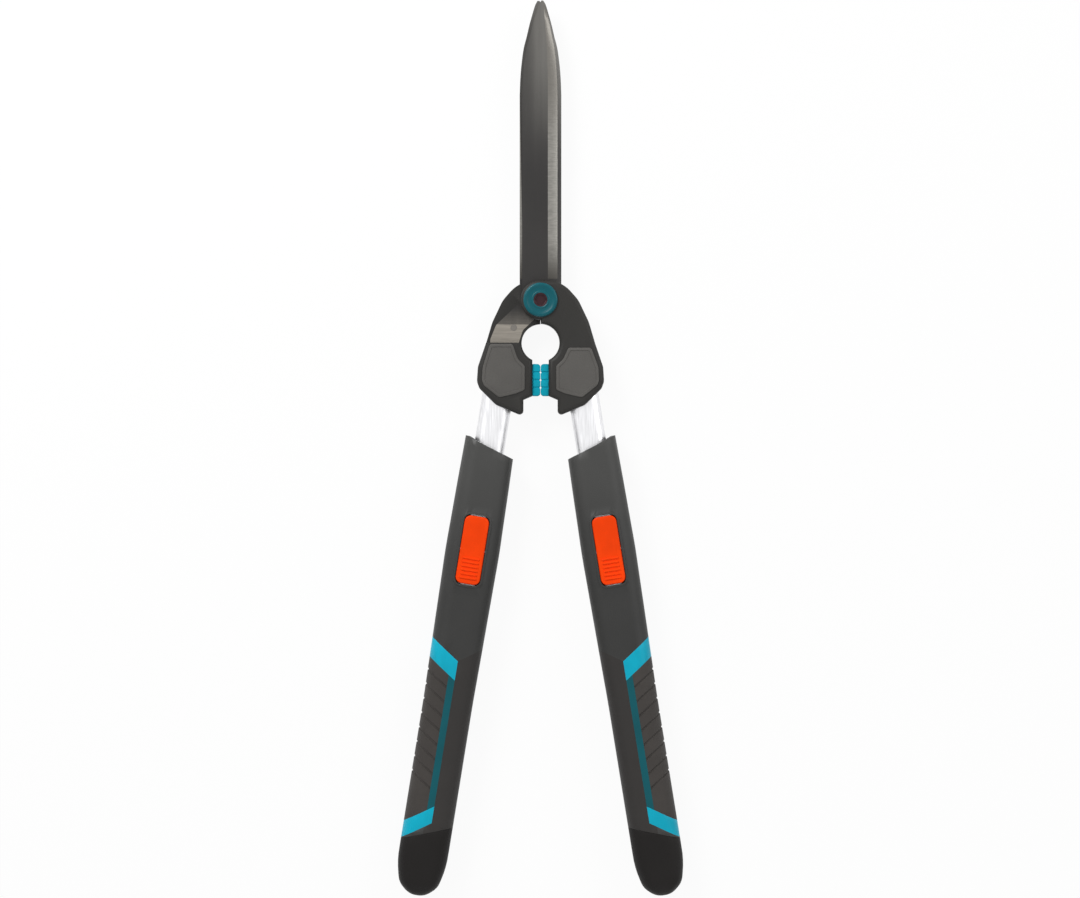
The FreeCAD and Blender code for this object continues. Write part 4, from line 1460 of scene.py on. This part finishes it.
    def _sink_grooves(self, work: Work) -> None:
        """Push the grooves' floors into the softened pad."""
        start, end = (self.groove_width * share for share in self.groove_shares)
        for groove in self._grooves():
            work.pick("FACE", lambda place, face: self._outwards(place, face)
                      and groove.at(place.x) + start < -place.y < groove.at(place.x) + end)
            work.sink(self.groove_depth)

    def _outwards(self, place: Vector, face: Any) -> bool:
        """Whether a face of a wall looks away from the grip's axis."""
        return face.normal.x * place.x + face.normal.z * (place.z - self.thickness / 2) > self.outward

    def _screw_wells(self) -> Piece:
        """Pins that cut the wells of the screws out of the back shell, in one piece."""
        wells = [pin(self.well_radius, -MM, self.well_depth, sign * self.well_across,
                     -(self.well_start + self.well_span * share) * MM, 36) for share, sign in self.wells]
        clear_selection()
        for well in wells:
            well.select_set(True)
        bpy.context.view_layer.objects.active = wells[0]
        bpy.ops.object.join()
        return bpy.context.active_object


def rectangle(station: float, across: float, along: float, corner: float) -> Corners:
    """Rounded rectangle on a handle's axis, from its station, half sizes and radius."""
    return [(x * across, y * along - station, corner) for x, y in ((1, 1), (-1, 1), (-1, -1), (1, -1))]


@dataclass
class Lock(Assembly):
    """The orange rocker that locks a tube."""

    station: float = 201.4 * MM
    length: float = 53.5 * MM
    width: float = 19.3 * MM
    corner: float = 5.0 * MM
    top: float = 33.3 * MM
    plate: float = 4.8 * MM
    rim: float = 1.2 * MM
    rib_count: int = 6
    rib_pitch: float = 3.1 * MM
    rib_width: float = 1.4 * MM
    rib_height: float = 0.7 * MM
    rib_start: float = 208.0 * MM
    rib_reach: float = 6.6 * MM
    rib_corner: float = 0.7 * MM
    rib_rim: float = 0.35 * MM
    bearing_radius: float = 2.9 * MM
    bearing_length: float = 18.5 * MM
    bearing_level: float = 27.3 * MM

    def outline(self, grow: float = 0.0, grow_along: float = 0.0) -> Corners:
        """Plan of the rocker, wider on each side and longer at each end."""
        return rectangle(self.station, self.width / 2 + grow, self.length / 2 + grow_along, self.corner + grow)

    def build(self) -> None:
        """Rounded plate with ribs across it and its bearing underneath, on both handles."""
        work = outline_plate("rocker_model", self.outline(), self.top - self.plate, self.top, self.rim, 6, 4)
        work.combine("UNION", cross_pin(self.bearing_radius, self.bearing_length,
                                        (0.0, -self.station, self.bearing_level)))
        ribs = [outline_plate("rib", rectangle(self.rib_start + index * self.rib_pitch, self.rib_reach,
                                               self.rib_width / 2, self.rib_corner),
                              self.top - MM, self.top + self.rib_height, self.rib_rim, 4).done()
                for index in range(self.rib_count)]
        work.combine("UNION", *ribs)
        dress_both(work.done(35.0), "rocker", "lock", "orange_plastic", "button_plastic", "lock_button")


@dataclass
class Head(Assembly):
    """Moulded covers of both heads, each with a raised lighter panel whose middle is sunk."""

    top: float = 28.5 * MM
    root: float = 1.2 * MM
    raise_by: float = 0.8 * MM
    rim: float = 0.55 * MM
    border: float = 1.6 * MM
    sunk: float = 0.4 * MM
    panel: Corners = (
        (21.7, -37.4, 2.2), (17.8, -46.3, 9.0), (12.2, -51.6, 3.0), (12.2, -70.4, 2.4), (19.4, -73.4, 5.0),
        (32.4, -76.4, 4.5), (44.3, -66.8, 4.0), (45.8, -62.6, 6.0), (45.2, -52.6, 9.0), (39.6, -37.4, 2.6))
    edge: float = 0.4 * MM
    step: float = 0.35 * MM
    panel_top: float = -37.4
    short_panel_top: float = -34.5

    def build(self) -> None:
        """Dress all four covers."""
        models = {True: self._panel(self.short_panel_top), False: self._panel(self.panel_top)}
        for side in Side:
            for face, through in (("front", Matrix.Identity(4)), ("back", UNDER)):
                node = f"{side.word}_head_{face}_cover"
                short = (side is Side.LEFT) == (face == "front")
                panel = placed(models[short], "panel_blank", across_pivot(side) @ through)
                cover = recast(node, f"{side.word}_head_{face}", self.edge)
                for piece in (cover, panel):
                    give_slots(piece, [finish_named("head_plastic"), finish_named("panel_plastic")])
                dress(Work.from_object(cover).combine("UNION", panel).done(), f"{side.word}_arm", "head_plastic",
                      "head_plastic panel_plastic", node)
        for model in models.values():
            scrap(model)

    def _panel(self, top: float) -> Piece:
        """Rounded plate over the socket, with a rim left standing round its middle.

        Args:
            top: Y of its upper edge in millimetres, nearer on a cover without a hub.

        Returns:
            The plate.
        """
        corners = [(x * MM, (top if y == self.panel_top else y) * MM, radius * MM) for x, y, radius in self.panel]
        work = outline_plate("panel_model", corners, self.top - self.root, self.top + self.raise_by, self.rim)
        work.pick("FACE", lambda place, face: face.normal.z > 0.99 and place.z > self.top)
        work.inset(self.border).inset(self.step, -self.sunk)
        work.pick("FACE").paint(1)
        return work.done(35.0)


@dataclass
class Buffer(Assembly):
    """Rubber buffers on the noses of the heads, ribbed where they meet, with a stud behind."""

    gap: float = 0.15 * MM
    reach: float = 6.4 * MM
    start: float = 50.05 * MM
    length: float = 25.0 * MM
    height: float = 18.0 * MM
    corner: float = 2.4 * MM
    stud_radius: float = 3.0 * MM
    stud_length: float = 6.0 * MM
    groove_width: float = 1.7 * MM
    groove_depth: float = 0.55 * MM
    groove_shares: tuple[float, ...] = (0.26, 0.5, 0.74)
    tip_round: float = 0.5 * MM

    def build(self) -> None:
        """Block with rounded meeting edges, grooves across it and its stud, on both noses."""
        depth = self.reach - self.gap
        middle = self.start + self.length / 2
        work = Work("bumper_model", bpy.ops.mesh.primitive_cube_add, size=1.0)
        work.scale((depth, self.length, self.height))
        work.move((self.gap + depth / 2, -middle, MIDDLE))
        work.pick("EDGE", lambda place, edge: place.x < self.gap + MM / 10 and abs(place.z - MIDDLE) < MM)
        work.bevel(self.corner, 5).soften(self.tip_round, 50.0, 3)
        places = [self.start + self.length * share for share in self.groove_shares]
        for along in places:
            for step in (-0.5, -0.25, 0.25, 0.5):
                work.score((0.0, -along + step * self.groove_width, 0.0), (0.0, 1.0, 0.0))
        for along in places:
            work.pick("FACE", lambda place, face: abs(place.y + along) < self.groove_width / 4
                      and face.normal.x < 0.5)
            work.sink(self.groove_depth)
        work.done(35.0)
        work.combine("UNION", cross_pin(self.stud_radius, self.stud_length + MM,
                                        (self.reach + self.stud_length / 2 - MM / 2, -middle, MIDDLE)))
        dress_both(work.done(35.0), "bumper", "arm", "teal_rubber", "buffer_rubber", "buffer", across_pivot)


Look = tuple[str, str]
ZINC: Look = ("bright_steel", "zinc_steel")
RIVET: Look = ("bright_steel", "rivet_steel")
BRONZE: Look = ("bush_bronze", "bush_bronze")
GUIDE: Look = ("guide_plastic", "guide_plastic")


@dataclass
class Carried(Assembly):
    """CAD nodes that are shown as softened copies: node, its slot and finish, and edge in millimetres."""

    rows: tuple[tuple[str, Look, float], ...] = (
        ("pivot_front_washer", ZINC, 0.15), ("pivot_rear_washer", ZINC, 0.15), ("pivot_bush", BRONZE, 0.0))
    sided: tuple[tuple[str, Look, float], ...] = (
        ("head_screws", ZINC, 0.1), ("tube_bolt", ZINC, 0.1), ("tang_rivets", RIVET, 0.0), ("tube_plug", GUIDE, 0.0),
        ("grip_screws", ZINC, 0.1), ("guide_collar", GUIDE, 0.3), ("end_cap_screw", ZINC, 0.1),
        ("lock_pin", ZINC, 0.0), ("lock_peg", ZINC, 0.0), ("lock_spring", ZINC, 0.0))
    spring_foot: float = 25.4 * MM
    spring_pressed: float = 0.82

    def build(self) -> None:
        """Make every copy."""
        rows = list(self.rows)
        rows += [(f"{side.word}_{node}", *rest) for side in Side for node, *rest in self.sided]
        for node, (slot, finish), edge in rows:
            body = frame["nodes"][node]["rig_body"]
            piece = recast(node, node + "_look", edge * MM)
            dress(piece, body, slot, finish, node)
            if node.endswith("_lock_spring"):
                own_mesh(piece)


def main() -> None:
    """Build the scene."""
    logging.basicConfig(level=logging.INFO, format="%(message)s")
    clear_selection()
    Studio().build()
    for assembly in (Blade(), Pivot(), Head(), Buffer(), Telescope(), Grip(), Lock(), Carried()):
        LOG.info("%s", type(assembly).__name__)
        assembly.build()


if __name__ == "__main__":
    main()
